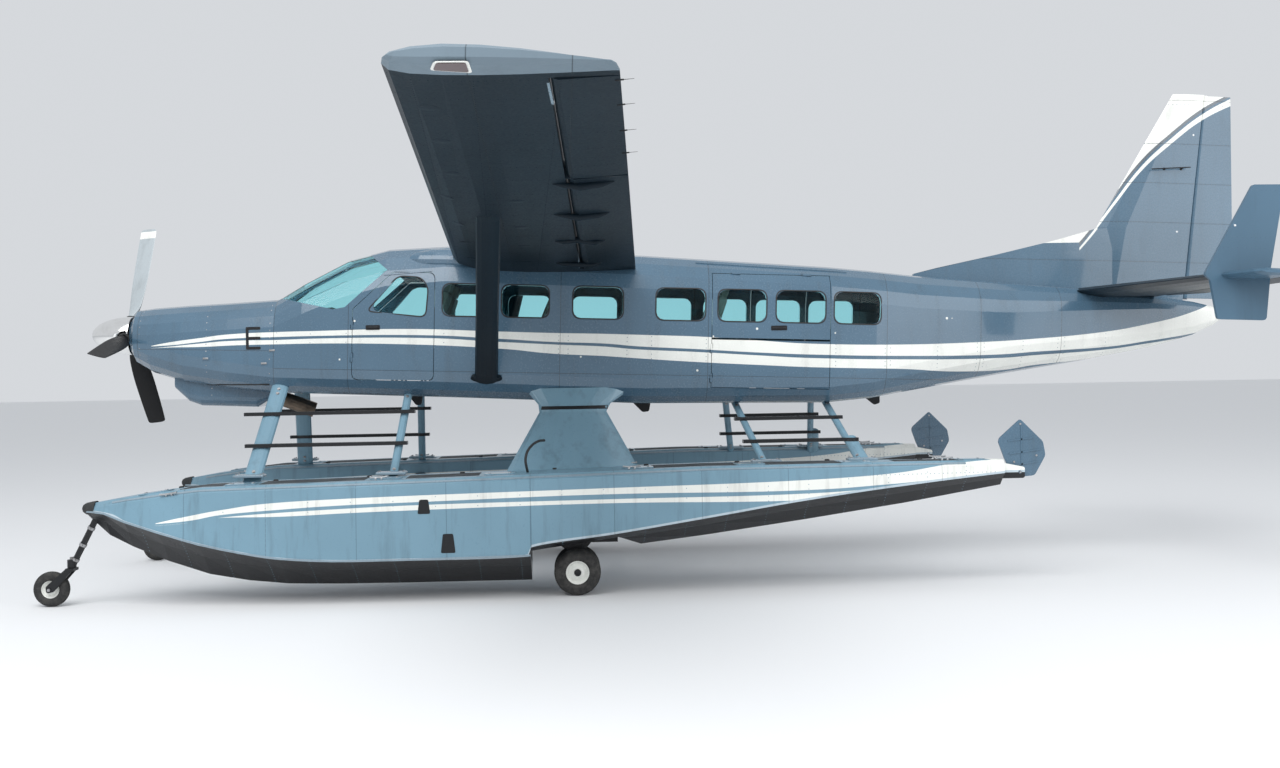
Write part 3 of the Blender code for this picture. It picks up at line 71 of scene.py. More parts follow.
# Frames of reference: the airframe sits nose up, the floats stand level
NOSE_UP = math.radians(1.97)
WING_DATUM = Vector((-2.378, 0.0, 3.422))
THRUST_DROP = 0.874
AIRFRAME = (Matrix.Translation(WING_DATUM) @ Matrix.Rotation(NOSE_UP, 4, "Y")
            @ Matrix.Translation((0, 0, -THRUST_DROP)))
LEVEL = Matrix.Translation((WING_DATUM.x, 0, 0))
SIDES = (("left", -1), ("right", 1))

# Propeller, in the airframe's frame
HUB_X = -3.59
BLADE_ROOT_X = -3.570
BLADE_RADIUS = 1.285
BLADE_DROOP = math.radians(11.0)
# Share of the radius, chord, thickness, shift aft, pitch from feather in degrees
BLADE_STATIONS = (
    (0.075, 0.090, 0.086, -0.014, 30), (0.17, 0.095, 0.078, -0.014, 30), (0.26, 0.163, 0.048, 0.006, 29),
    (0.45, 0.199, 0.033, 0.020, 25), (0.70, 0.199, 0.023, 0.034, 20), (0.93, 0.188, 0.015, 0.046, 15),
    (0.985, 0.174, 0.011, 0.048, 14), (0.998, 0.118, 0.007, 0.050, 14),
)
# Spinner: radius, distance ahead of its back edge
SPINNER_PROFILE = (
    (0.000, 0.439), (0.026, 0.434), (0.050, 0.424), (0.082, 0.399), (0.110, 0.369), (0.137, 0.328),
    (0.160, 0.280), (0.180, 0.223), (0.195, 0.160), (0.205, 0.088), (0.2095, 0.020), (0.2095, 0.000),
    (0.204, 0.000), (0.190, 0.150), (0.153, 0.275), (0.100, 0.362), (0.000, 0.422),
)

# Floats and wheels, in the level frame
FLOAT_Y = 1.70
MAIN_WHEEL = Vector((1.217, 0.0, 0.228))
NOSE_WHEEL = Vector((-3.861, 0.0, 0.170))
SWIVEL_X = -3.668
MAIN_TYRE_Y = 0.164
# Chine height along the float: world x, world z
CHINE = ((-5.878, 0.905), (-5.678, 0.890), (-5.458, 0.812), (-5.118, 0.708), (-4.728, 0.596), (-4.348, 0.512),
         (-3.968, 0.449), (-3.478, 0.416), (-2.878, 0.412), (-1.608, 0.425), (-1.600, 0.508), (-0.778, 0.615),
         (0.122, 0.745), (1.122, 0.890), (2.122, 1.005), (3.102, 1.095))

# Paint bands in world x and z: x, then the top and bottom edge of the upper and of the lower stripe
FUSELAGE_STRIPES = (
    (-5.640, 2.545, 2.540, 2.520, 2.519), (-5.450, 2.576, 2.546, 2.532, 2.524), (-5.114, 2.614, 2.573, 2.557, 2.522),
    (-4.681, 2.653, 2.605, 2.580, 2.532), (-4.252, 2.662, 2.610, 2.579, 2.533), (-3.823, 2.664, 2.612, 2.584, 2.532),
    (-2.983, 2.668, 2.606, 2.577, 2.510), (-1.940, 2.625, 2.549, 2.516, 2.446), (-1.310, 2.598, 2.503, 2.476, 2.378),
    (-0.890, 2.585, 2.485, 2.453, 2.353), (-0.468, 2.567, 2.445, 2.412, 2.318), (0.168, 2.538, 2.405, 2.374, 2.268),
    (0.810, 2.487, 2.359, 2.328, 2.227), (1.455, 2.440, 2.325, 2.287, 2.190), (2.345, 2.421, 2.300, 2.262, 2.160),
    (3.270, 2.437, 2.295, 2.256, 2.120), (3.980, 2.470, 2.327, 2.289, 2.180), (4.710, 2.528, 2.361, 2.330, 2.240),
    (5.320, 2.620, 2.429, 2.400, 2.300), (5.820, 2.735, 2.497, 2.470, 2.360), (6.300, 2.960, 2.590, 2.560, 2.450),
)
FLOAT_STRIPES = (
    (-5.150, 0.812, 0.806, 0.790, 0.789), (-4.870, 0.869, 0.828, 0.810, 0.809), (-4.490, 0.934, 0.887, 0.862, 0.858),
    (-4.020, 0.988, 0.921, 0.893, 0.858), (-3.310, 1.016, 0.955, 0.922, 0.879), (-2.700, 1.030, 0.968, 0.939, 0.892),
    (-0.900, 1.058, 1.000, 0.952, 0.914), (1.050, 1.086, 0.989, 0.955, 0.892), (1.850, 1.121, 1.020, 0.990, 0.930),
    (2.670, 1.215, 1.075, 1.060, 1.000), (3.150, 1.240, 1.100, 1.080, 1.030),
)
# Fin: world x, then the edges of the white top's grey line and of the white stripe under it
FIN_BANDS = (
    (4.600, 3.560, 3.520, 3.500, 3.470), (4.773, 3.760, 3.725, 3.700, 3.660), (5.020, 4.085, 4.050, 4.020, 3.975),
    (5.353, 4.500, 4.462, 4.432, 4.380), (5.696, 4.800, 4.765, 4.735, 4.675), (6.049, 5.060, 5.025, 4.995, 4.930),
    (6.400, 5.235, 5.205, 5.180, 5.100),
)

# Heights of the black rungs between the float struts, and half of one's thickness
FRONT_RUNG_Z = (1.490, 1.805)
REAR_RUNG_Z = (1.430, 1.655)
RUNG_BAND = 0.019

# Fuselage openings, in the airframe's frame
WINDOWS = (
    (-0.117, 0.380, "airframe", "airframe"), (0.500, 0.989, "airframe", "airframe"),
    (1.247, 1.770, "airframe", "airframe"), (2.125, 2.642, "airframe", "airframe"),
    (2.784, 3.294, "cargo_door_upper", "airframe"), (3.406, 3.929, "cargo_door_upper", "airstair_upper"),
    (4.031, 4.543, "airframe", "airframe"),
)
WINDOW_Z = (0.250, 0.580)
WINDOW_RADIUS = 0.085
CREW_WINDOW = ((-0.905, 0.285), (-0.300, 0.235), (-0.276, 0.534), (-0.354, 0.640), (-0.585, 0.650))
FLOOR_Z = -0.50
SEAT_ROWS = (-0.72, 0.45, 1.35, 2.25)
SEAT_Y = 0.43
SEAT_WIDTH = 0.46


class PaintSettings(bpy.types.PropertyGroup):
    """Colours of the painted, rubber and glass surfaces."""
    slate: FloatVectorProperty(name="Slate", description="Fuselage, cowl and fin paint",
                               default=(0.064, 0.126, 0.186), subtype="COLOR", min=0, max=1)
    white: FloatVectorProperty(name="White", description="Stripes and fin top",
                               default=(0.74, 0.75, 0.71), subtype="COLOR", min=0, max=1)
    float_blue: FloatVectorProperty(name="Float blue", description="Sides and decks of the floats",
                                    default=(0.160, 0.278, 0.355), subtype="COLOR", min=0, max=1)
    # The wing colour is darker than the real slate paint: painted shade for the shaded underside of the wing and
    # tailplane, used on every face of them.
    wing: FloatVectorProperty(name="Wing", description="Wing and tailplane paint",
                              default=(0.006, 0.013, 0.020), subtype="COLOR", min=0, max=1)
    black: FloatVectorProperty(name="Black", description="Hull bottoms and steel parts",
                               default=(0.012, 0.013, 0.015), subtype="COLOR", min=0, max=1)
    glass: FloatVectorProperty(name="Glass", description="Tint of the windows",
                               default=(0.62, 0.92, 0.95), subtype="COLOR", min=0, max=1)
    leather: FloatVectorProperty(name="Leather", description="Seat covers",
                                 default=(0.23, 0.21, 0.18), subtype="COLOR", min=0, max=1)


class FastenerSettings(bpy.types.PropertyGroup):
    """Sizes of the rivets and other small fasteners."""
    pitch: FloatProperty(name="Pitch", description="Distance between two rivets", default=0.045, min=0.02,
                         max=0.2, unit="LENGTH")
    radius: FloatProperty(name="Radius", description="Radius of a rivet's head", default=0.0048, min=0.002,
                          max=0.01, unit="LENGTH")
    height: FloatProperty(name="Height", description="Height of a rivet's head", default=0.0016, min=0.0005,
                          max=0.004, unit="LENGTH")
    wick: FloatProperty(name="Static wick", description="Length of a static wick", default=0.08, min=0.05,
                        max=0.2, unit="LENGTH")


class WheelSettings(bpy.types.PropertyGroup):
    """Sizes of the tyres and their bolts."""
    steps: IntProperty(name="Steps", description="Steps round a wheel", default=72, min=24, max=128)
    bolts: IntProperty(name="Bolts", description="Bolts round a wheel's hub", default=8, min=4, max=16)


class StageSettings(bpy.types.PropertyGroup):
    """The camera, floor and lights."""
    lens: FloatProperty(name="Lens", description="Focal length on a 36 mm sensor", default=37.95, min=20, max=80)
    floor: FloatVectorProperty(name="Floor", description="Floor colour", default=(0.80, 0.81, 0.82),
                               subtype="COLOR", min=0, max=1)
    key: FloatProperty(name="Key light", description="Power of the main light", default=3300, min=0, unit="POWER")
    fill: FloatProperty(name="Fill light", description="Power of the side light", default=900, min=0,
                        unit="POWER")


SETTINGS = (("floatplane_paint", PaintSettings), ("floatplane_fasteners", FastenerSettings),
            ("floatplane_wheels", WheelSettings), ("floatplane_stage", StageSettings))


class Graph:
    """Writes a node tree one node at a time."""

    def __init__(self, tree):
        self.tree = tree

    def add(self, kind, inputs=None, **settings):
        node = self.tree.nodes.new(kind)
        node.location = (190 * (len(self.tree.nodes) % 12), -260 * (len(self.tree.nodes) // 12))
        for key, value in settings.items():
            setattr(node, key, value)
        for key, value in (inputs or {}).items():
            self.feed(node.inputs[key], value)
        return node

    def feed(self, socket, value):
        if isinstance(value, bpy.types.NodeSocket):
            self.tree.links.new(value, socket)
        elif socket.type == "RGBA" and len(value) == 3:
            socket.default_value = (*value, 1.0)
        else:
            socket.default_value = value

    def math(self, operation, *values, clamp=False):
        node = self.add("ShaderNodeMath", operation=operation, use_clamp=clamp)
        for socket, value in zip(node.inputs, values):
            self.feed(socket, value)
        return node.outputs[0]

    def vector(self, operation, *values, output=0):
        node = self.add("ShaderNodeVectorMath", operation=operation)
        for socket, value in zip(node.inputs, values):
            self.feed(socket, value)
        return node.outputs[output]

    def mix(self, factor, first, second):
        """Mix two colours."""
        node = self.add("ShaderNodeMix", data_type="RGBA")
        self.feed(node.inputs[0], factor)
        self.feed(node.inputs[6], first)
        self.feed(node.inputs[7], second)
        return node.outputs[2]

    def highest(self, *values):
        result = values[0]
        for value in values[1:]:
            result = self.math("MAXIMUM", result, value)
        return result

    def noise(self, scale, detail=3.0, vector=None, roughness=0.5):
        inputs = {"Scale": scale, "Detail": detail, "Roughness": roughness}
        inputs["Vector"] = vector if vector is not None else self.place()
        return self.add("ShaderNodeTexNoise", inputs).outputs["Fac"]

    def place(self):
        """The point on the piece."""
        return self.add("ShaderNodeTexCoord").outputs["Object"]

    def remap(self, value, low, high, new_low, new_high):
        node = self.add("ShaderNodeMapRange", {"Value": value, "From Min": low, "From Max": high,
                                               "To Min": new_low, "To Max": new_high})
        return node.outputs[0]

    def group(self, name, **inputs):
        node = self.add("ShaderNodeGroup", node_tree=bpy.data.node_groups[name])
        for key, value in inputs.items():
            self.feed(node.inputs[key.replace("_", " ")], value)
        return node


def new_group(name, inputs, outputs, kind="ShaderNodeTree"):
    """A node group with named sockets; gives its graph, its input node and its output node."""
    tree = bpy.data.node_groups.new(name, kind)
    for in_out, sockets in (("INPUT", inputs), ("OUTPUT", outputs)):
        for socket_name, socket_kind, default in sockets:
            socket = tree.interface.new_socket(name=socket_name, in_out=in_out, socket_type=socket_kind)
            if default is not None:
                socket.default_value = default
    graph = Graph(tree)
    return graph, graph.add("NodeGroupInput"), graph.add("NodeGroupOutput")


FLOAT, COLOUR, VECTOR = "NodeSocketFloat", "NodeSocketColor", "NodeSocketVector"


def make_coordinate_groups():
    """Where a point lies in the airframe's own frame."""
    graph, _, end = new_group("airframe_place", (), (("X", FLOAT, None), ("Y", FLOAT, None), ("Z", FLOAT, None)))
    point = graph.vector("SUBTRACT", graph.place(), tuple(WING_DATUM))
    along = (math.cos(NOSE_UP), 0, -math.sin(NOSE_UP))
    upward = (math.sin(NOSE_UP), 0, math.cos(NOSE_UP))
    height = graph.vector("DOT_PRODUCT", point, upward, output=1)
    graph.feed(end.inputs["X"], graph.vector("DOT_PRODUCT", point, along, output=1))
    graph.feed(end.inputs["Y"], graph.vector("DOT_PRODUCT", point, (0, 1, 0), output=1))
    graph.feed(end.inputs["Z"], graph.math("ADD", height, THRUST_DROP))


def height_curve(graph, x, points):
    """A height that follows x through a list of points."""
    x_low, x_high = points[0][0], points[-1][0]
    z_low = min(z for _, z in points) - 0.01
    z_high = max(z for _, z in points) + 0.01
    node = graph.add("ShaderNodeFloatCurve", {"Value": graph.remap(x, x_low, x_high, 0.0, 1.0)})
    curve = node.mapping.curves[0]
    scaled = [((px - x_low) / (x_high - x_low), (pz - z_low) / (z_high - z_low)) for px, pz in points]
    curve.points[0].location = scaled[0]
    curve.points[1].location = scaled[-1]
    for place in scaled[1:-1]:
        curve.points.new(*place)
    node.mapping.use_clip = False
    node.mapping.update()
    return graph.remap(node.outputs[0], 0.0, 1.0, z_low, z_high)


def make_band_group(name, stations):
    """A group that gives the four edges' masks: inside the upper band, inside the lower band, over the first."""
    graph, _, end = new_group(name, (), (("Upper", FLOAT, None), ("Lower", FLOAT, None), ("Above", FLOAT, None)))
    xyz = graph.add("ShaderNodeSeparateXYZ", {0: graph.place()})
    x, z = xyz.outputs[0], xyz.outputs[2]
    edges = [height_curve(graph, x, [(s[0], s[k]) for s in stations]) for k in (1, 2, 3, 4)]
    over = [graph.math("GREATER_THAN", z, edge) for edge in edges]
    within = graph.math("MULTIPLY", graph.math("GREATER_THAN", x, stations[0][0]),
                        graph.math("LESS_THAN", x, stations[-1][0] + 0.3))
    graph.feed(end.inputs["Upper"], graph.math("MULTIPLY", graph.math("SUBTRACT", over[1], over[0]), within))
    graph.feed(end.inputs["Lower"], graph.math("MULTIPLY", graph.math("SUBTRACT", over[3], over[2]), within))
    graph.feed(end.inputs["Above"], over[0])


def make_surface_groups():
    """Groups for weathered paint, bare metal, rubber, leather and anti-slip coating."""
    graph, start, end = new_group(
        "weathered_paint",
        (("Colour", COLOUR, (0.5, 0.5, 0.5, 1)), ("Grime", FLOAT, 0.3), ("Gloss", FLOAT, 0.25),
         ("Seams", FLOAT, 0.0)),
        (("Colour", COLOUR, None), ("Roughness", FLOAT, None), ("Normal", VECTOR, None)))
    place = graph.place()
    cloudy = graph.noise(0.9, 4.0, place)
    streaks = graph.noise(1.0, 5.0, graph.vector("MULTIPLY", place, (9.0, 9.0, 1.1)), 0.65)
    speck = graph.noise(55.0, 2.0, place)
    faded = graph.vector("MULTIPLY_ADD", start.outputs["Colour"], (1.30, 1.30, 1.30), (0.004, 0.004, 0.004))
    dull = graph.mix(graph.math("MULTIPLY", graph.remap(cloudy, 0.35, 0.75, 0.0, 1.0), 0.6),
                     start.outputs["Colour"], faded)
    dirt = graph.math("MULTIPLY", graph.remap(streaks, 0.52, 0.78, 0.0, 1.0), start.outputs["Grime"], clamp=True)
    dirty = graph.mix(dirt, dull, (0.030, 0.030, 0.027))
    seamed = graph.mix(graph.math("MULTIPLY", start.outputs["Seams"], 0.55), dirty, (0.015, 0.018, 0.02))
    rough = graph.math("ADD", start.outputs["Gloss"], graph.remap(speck, 0.3, 0.7, -0.03, 0.05))
    rough = graph.math("ADD", rough, graph.math("MULTIPLY", dirt, 0.35), clamp=True)
    peel = graph.add("ShaderNodeBump", {"Strength": 0.06, "Distance": 0.002, "Height": graph.noise(160.0, 1.0, place)})
    dents = graph.add("ShaderNodeBump", {"Strength": 0.10, "Distance": 0.008, "Height": graph.noise(2.6, 1.0, place),
                                         "Normal": peel.outputs[0]})
    sunk = graph.add("ShaderNodeBump", {"Strength": 0.5, "Distance": 0.002, "Normal": dents.outputs[0],
                                        "Height": graph.math("SUBTRACT", 1.0, start.outputs["Seams"])})
    graph.feed(end.inputs["Colour"], seamed)
    graph.feed(end.inputs["Roughness"], rough)
    graph.feed(end.inputs["Normal"], sunk.outputs[0])

    graph, start, end = new_group(
        "bare_metal", (("Colour", COLOUR, (0.6, 0.6, 0.6, 1)), ("Roughness", FLOAT, 0.3), ("Stain", FLOAT, 0.3)),
        (("Colour", COLOUR, None), ("Roughness", FLOAT, None), ("Normal", VECTOR, None)))
    place = graph.place()
    grain = graph.noise(220.0, 3.0, graph.vector("MULTIPLY", place, (0.08, 1.0, 1.0)))
    stain = graph.math("MULTIPLY", graph.remap(graph.noise(14.0, 5.0, place), 0.45, 0.75, 0.0, 1.0),
                       start.outputs["Stain"], clamp=True)
    graph.feed(end.inputs["Colour"], graph.mix(stain, start.outputs["Colour"], (0.10, 0.085, 0.07)))
    graph.feed(end.inputs["Roughness"], graph.math(
        "ADD", graph.math("ADD", start.outputs["Roughness"], graph.remap(grain, 0.3, 0.7, -0.05, 0.08)),
        graph.math("MULTIPLY", stain, 0.3), clamp=True))
    bump = graph.add("ShaderNodeBump", {"Strength": 0.12, "Distance": 0.001, "Height": grain})
    graph.feed(end.inputs["Normal"], bump.outputs[0])

    graph, start, end = new_group(
        "rubber_skin", (("Colour", COLOUR, (0.02, 0.02, 0.02, 1)), ("Dust", FLOAT, 0.35)),
        (("Colour", COLOUR, None), ("Roughness", FLOAT, None), ("Normal", VECTOR, None)))
    place = graph.place()
    dust = graph.math("MULTIPLY", graph.remap(graph.noise(18.0, 5.0, place), 0.42, 0.72, 0.0, 1.0),
                      start.outputs["Dust"], clamp=True)
    graph.feed(end.inputs["Colour"], graph.mix(dust, start.outputs["Colour"], (0.11, 0.105, 0.095)))
    graph.feed(end.inputs["Roughness"], graph.remap(graph.noise(90.0, 3.0, place), 0.3, 0.7, 0.62, 0.88))
    bump = graph.add("ShaderNodeBump", {"Strength": 0.3, "Distance": 0.0015, "Height": graph.noise(420.0, 2.0, place)})
    graph.feed(end.inputs["Normal"], bump.outputs[0])

    graph, start, end = new_group(
        "leather_grain", (("Colour", COLOUR, (0.2, 0.18, 0.15, 1)), ("Wear", FLOAT, 0.4)),
        (("Colour", COLOUR, None), ("Roughness", FLOAT, None), ("Normal", VECTOR, None)))
    place = graph.place()
    cells = graph.add("ShaderNodeTexVoronoi", {"Vector": place, "Scale": 260.0}, feature="DISTANCE_TO_EDGE")
    wear = graph.math("MULTIPLY", graph.remap(graph.noise(7.0, 4.0, place), 0.45, 0.7, 0.0, 1.0),
                      start.outputs["Wear"], clamp=True)
    graph.feed(end.inputs["Colour"], graph.mix(wear, start.outputs["Colour"], (0.34, 0.31, 0.27)))
    graph.feed(end.inputs["Roughness"], graph.remap(cells.outputs[0], 0.0, 0.4, 0.68, 0.46))
    bump = graph.add("ShaderNodeBump", {"Strength": 0.35, "Distance": 0.001, "Height": cells.outputs[0]})
    graph.feed(end.inputs["Normal"], bump.outputs[0])

    graph, start, end = new_group(
        "anti_slip", (("Colour", COLOUR, (0.03, 0.03, 0.03, 1)),),
        (("Colour", COLOUR, None), ("Normal", VECTOR, None)))
    place = graph.place()
    grit = graph.noise(600.0, 2.0, place)
    worn = graph.remap(graph.noise(5.0, 5.0, place), 0.45, 0.75, 0.0, 0.5)
    graph.feed(end.inputs["Colour"], graph.mix(worn, start.outputs["Colour"], (0.13, 0.14, 0.145)))
    bump = graph.add("ShaderNodeBump", {"Strength": 0.7, "Distance": 0.002, "Height": grit})
    graph.feed(end.inputs["Normal"], bump.outputs[0])


def seam_mask(graph, value, places, width=0.0035):
    """One where a value is within a width of any listed place."""
    return graph.highest(*[graph.math("COMPARE", value, place, width) for place in places])


def between(graph, value, low, high):
    """One where a value lies in a range."""
    return graph.math("MULTIPLY", graph.math("GREATER_THAN", value, low), graph.math("LESS_THAN", value, high))


def new_material(name, finish=None, metallic=0.0, coat=0.0, **shader_inputs):
    """A material with one Principled shader; finish is (colour, roughness, normal) sockets made by a callback."""
    material = bpy.data.materials.new("finish_" + name)
    material.use_nodes = True
    graph = Graph(material.node_tree)
    shader = next(n for n in material.node_tree.nodes if n.type == "BSDF_PRINCIPLED")
    shader.inputs["Metallic"].default_value = metallic
    shader.inputs["Coat Weight"].default_value = coat
    for key, value in shader_inputs.items():
        shader.inputs[key.replace("_", " ")].default_value = value
    if finish:
        made = finish(graph)
        for key, value in zip(("Base Color", "Roughness", "Normal"), made):
            if value is not None:
                graph.feed(shader.inputs[key], value)
    return material


def painted(graph, colour, grime=0.3, gloss=0.25, seams=0.0):
    """Colour, roughness and normal of weathered paint."""
    node = graph.group("weathered_paint", Colour=colour, Grime=grime, Gloss=gloss, Seams=seams)
    return node.outputs[0], node.outputs[1], node.outputs[2]


def make_materials(paint):
    """Every finish on the aircraft, by name."""
    slate, white, blue = tuple(paint.slate), tuple(paint.white), tuple(paint.float_blue)
    dark, black = tuple(paint.wing), tuple(paint.black)

    def fuselage(graph):
        body = graph.group("airframe_place")
        bands = graph.group("fuselage_stripes")
        stripes = graph.math("ADD", bands.outputs["Upper"], bands.outputs["Lower"], clamp=True)
        colour = graph.mix(stripes, slate, white)
        rings = seam_mask(graph, body.outputs["X"], (-3.400, -1.893, -1.100, 1.115, 2.68, 4.62, 5.70, 6.66))
        lap = seam_mask(graph, body.outputs["Z"], (-0.335,))
        lap = graph.math("MULTIPLY", lap, between(graph, body.outputs["X"], -1.893, 5.70))
        cowl_split = seam_mask(graph, body.outputs["Z"], (-0.150,))
        cowl_split = graph.math("MULTIPLY", cowl_split, between(graph, body.outputs["X"], -3.400, -1.893))
        return painted(graph, colour, 0.22, 0.24, graph.highest(rings, lap, cowl_split))

    def fin(graph):
        body = graph.group("airframe_place")
        bands = graph.group("fin_bands")
        colour = graph.mix(bands.outputs["Above"], slate, white)
        colour = graph.mix(bands.outputs["Upper"], colour, (0.10, 0.12, 0.14))
        colour = graph.mix(bands.outputs["Lower"], colour, white)
        ribs = seam_mask(graph, body.outputs["Z"], (1.05, 1.50, 1.95, 2.40, 2.90))
        return painted(graph, colour, 0.20, 0.26, ribs)

    def wing(graph):
        body = graph.group("airframe_place")
        out = graph.math("ABSOLUTE", body.outputs["Y"])
        # The dark wing colour is painted shade; the tip cap beyond 7.775 m gets a lighter tone of the same paint,
        # painted light where it is lit from the side.
        colour = graph.mix(graph.math("GREATER_THAN", out, 7.775), dark, (0.16, 0.21, 0.25))
        ribs = seam_mask(graph, out, (0.98, 1.95, 2.92, 3.90, 4.60, 5.22, 6.10, 6.90, 7.70))
        spar = seam_mask(graph, body.outputs["X"], (0.62, 1.18))
        return painted(graph, colour, 0.12, 0.38, graph.highest(ribs, spar))

    def tail(graph):
        body = graph.group("airframe_place")
        finlet = graph.math("GREATER_THAN", graph.math("ABSOLUTE", body.outputs["Y"]), 2.535)
        # The stabilizer takes the dark wing colour, which is painted shade; the finlets keep the slate paint.
        return painted(graph, graph.mix(finlet, dark, slate), 0.15, 0.34)

    def strut(graph):
        xyz = graph.add("ShaderNodeSeparateXYZ", {0: graph.place()})
        x, z = xyz.outputs[0], xyz.outputs[2]
        front = graph.math("MULTIPLY", seam_mask(graph, z, FRONT_RUNG_Z, RUNG_BAND), graph.math("LESS_THAN", x, -1.0))
        rear = graph.math("MULTIPLY", seam_mask(graph, z, REAR_RUNG_Z, RUNG_BAND), graph.math("GREATER_THAN", x, -1.0))
        return painted(graph, graph.mix(graph.highest(front, rear), blue, black), 0.3, 0.32)

    def hull(graph):
        xyz = graph.add("ShaderNodeSeparateXYZ", {0: graph.place()})
        x, z = xyz.outputs[0], xyz.outputs[2]
        chine = height_curve(graph, x, CHINE)
        bands = graph.group("float_stripes")
        stripes = graph.math("ADD", bands.outputs["Upper"], bands.outputs["Lower"], clamp=True)
        colour = graph.mix(stripes, blue, white)
        colour = graph.mix(between(graph, graph.math("SUBTRACT", z, chine), 0.004, 0.026), colour, (0.42, 0.50, 0.55))
        colour = graph.mix(graph.math("LESS_THAN", graph.math("SUBTRACT", z, chine), 0.004), colour, black)
        frames = seam_mask(graph, x, (-4.88, -4.10, -3.25, -2.40, -1.60, -0.80, 0.05, 0.90, 1.75, 2.45))
        return painted(graph, colour, 0.35, 0.30, graph.math("MULTIPLY", frames, 0.6))

    def blades(graph):
        body = graph.group("airframe_place")
        radius = graph.math("POWER", graph.math("ADD", graph.math("POWER", body.outputs["Y"], 2.0),
                                                graph.math("POWER", body.outputs["Z"], 2.0)), 0.5)
        colour = graph.mix(between(graph, radius, 1.168, 1.252), (0.36, 0.40, 0.42), white)
        chips = graph.remap(graph.noise(60.0, 4.0), 0.60, 0.72, 0.0, 0.6)
        return painted(graph, graph.mix(chips, colour, (0.30, 0.31, 0.32)), 0.25, 0.34)

    def from_group(group, **inputs):
        def finish(graph):
            node = graph.group(group, **inputs)
            return tuple(node.outputs)
        return finish

    def walkway(graph):
        node = graph.group("anti_slip", Colour=(0.035, 0.042, 0.048))
        return node.outputs[0], None, node.outputs[1]

    made = {
        "slate_paint": new_material("slate_paint", fuselage, coat=0.6, Coat_Roughness=0.06),
        "fin_paint": new_material("fin_paint", fin, coat=0.6, Coat_Roughness=0.06),
        "wing_paint": new_material("wing_paint", wing, Specular_IOR_Level=0.14),
        "tail_paint_and_shade": new_material("tail_paint_and_shade", tail, Specular_IOR_Level=0.25),
        "rung_paint": new_material("rung_paint", strut, Specular_IOR_Level=0.35),
        "float_paint": new_material("float_paint", hull, Specular_IOR_Level=0.35),
        "plain_slate": new_material("plain_slate", lambda g: painted(g, slate, 0.3), coat=0.5),
        "plain_blue": new_material("plain_blue", lambda g: painted(g, blue, 0.35, 0.3), coat=0.4),
        "strut_paint": new_material("strut_paint", lambda g: painted(g, (0.21, 0.28, 0.33), 0.35, 0.28), coat=0.4),
        "black_steel": new_material("black_steel", lambda g: painted(g, black, 0.3, 0.38), Specular_IOR_Level=0.30),
        "white_paint": new_material("white_paint", lambda g: painted(g, white, 0.25, 0.28), coat=0.5),
        "blade_face": new_material("blade_face", blades),
        "blade_back": new_material("blade_back", lambda g: painted(g, (0.010, 0.010, 0.011), 0.2, 0.5),
                                   Specular_IOR_Level=0.25),
        "polished": new_material("polished", from_group("bare_metal", Colour=(0.86, 0.86, 0.85), Roughness=0.07,
                                                        Stain=0.10), metallic=1.0),
        "aluminium": new_material("aluminium", from_group("bare_metal", Colour=(0.55, 0.56, 0.57), Roughness=0.34,
                                                          Stain=0.35), metallic=1.0),
        "fastener_metal": new_material("fastener_metal", from_group("bare_metal", Colour=(0.42, 0.42, 0.43),
                                                                    Roughness=0.36, Stain=0.6), metallic=1.0),
        "burnt_steel": new_material("burnt_steel", from_group("bare_metal", Colour=(0.22, 0.17, 0.13),
                                                              Roughness=0.42, Stain=0.9), metallic=1.0),
        "tyre_rubber": new_material("tyre_rubber", from_group("rubber_skin", Colour=(0.018, 0.018, 0.018), Dust=0.4)),
        "seal_rubber": new_material("seal_rubber", from_group("rubber_skin", Colour=(0.022, 0.024, 0.026), Dust=0.15)),
        "leather": new_material("leather", from_group("leather_grain", Colour=tuple(paint.leather), Wear=0.4)),
        "trim_plastic": new_material("trim_plastic", from_group("rubber_skin", Colour=(0.10, 0.10, 0.10), Dust=0.3)),
        "walkway": new_material("walkway", walkway, Roughness=0.9),
        "glass": new_material("glass", None, Base_Color=(*paint.glass, 1), Roughness=0.02,
                              Transmission_Weight=1.0, IOR=1.20),
        "red_lens": new_material("red_lens", None, Base_Color=(0.05, 0.004, 0.004, 1), Roughness=0.08,
                                 Transmission_Weight=0.2, Coat_Weight=1.0),
        "green_lens": new_material("green_lens", None, Base_Color=(0.004, 0.04, 0.012, 1), Roughness=0.08,
                                   Transmission_Weight=0.2, Coat_Weight=1.0),
        "dial_face": new_material("dial_face", from_group("rubber_skin", Colour=(0.010, 0.010, 0.011), Dust=0.05)),
    }
    return made


def finish_of(name):
    """The finish of that name, apart from the packed part's own materials."""
    return bpy.data.materials["finish_" + name]


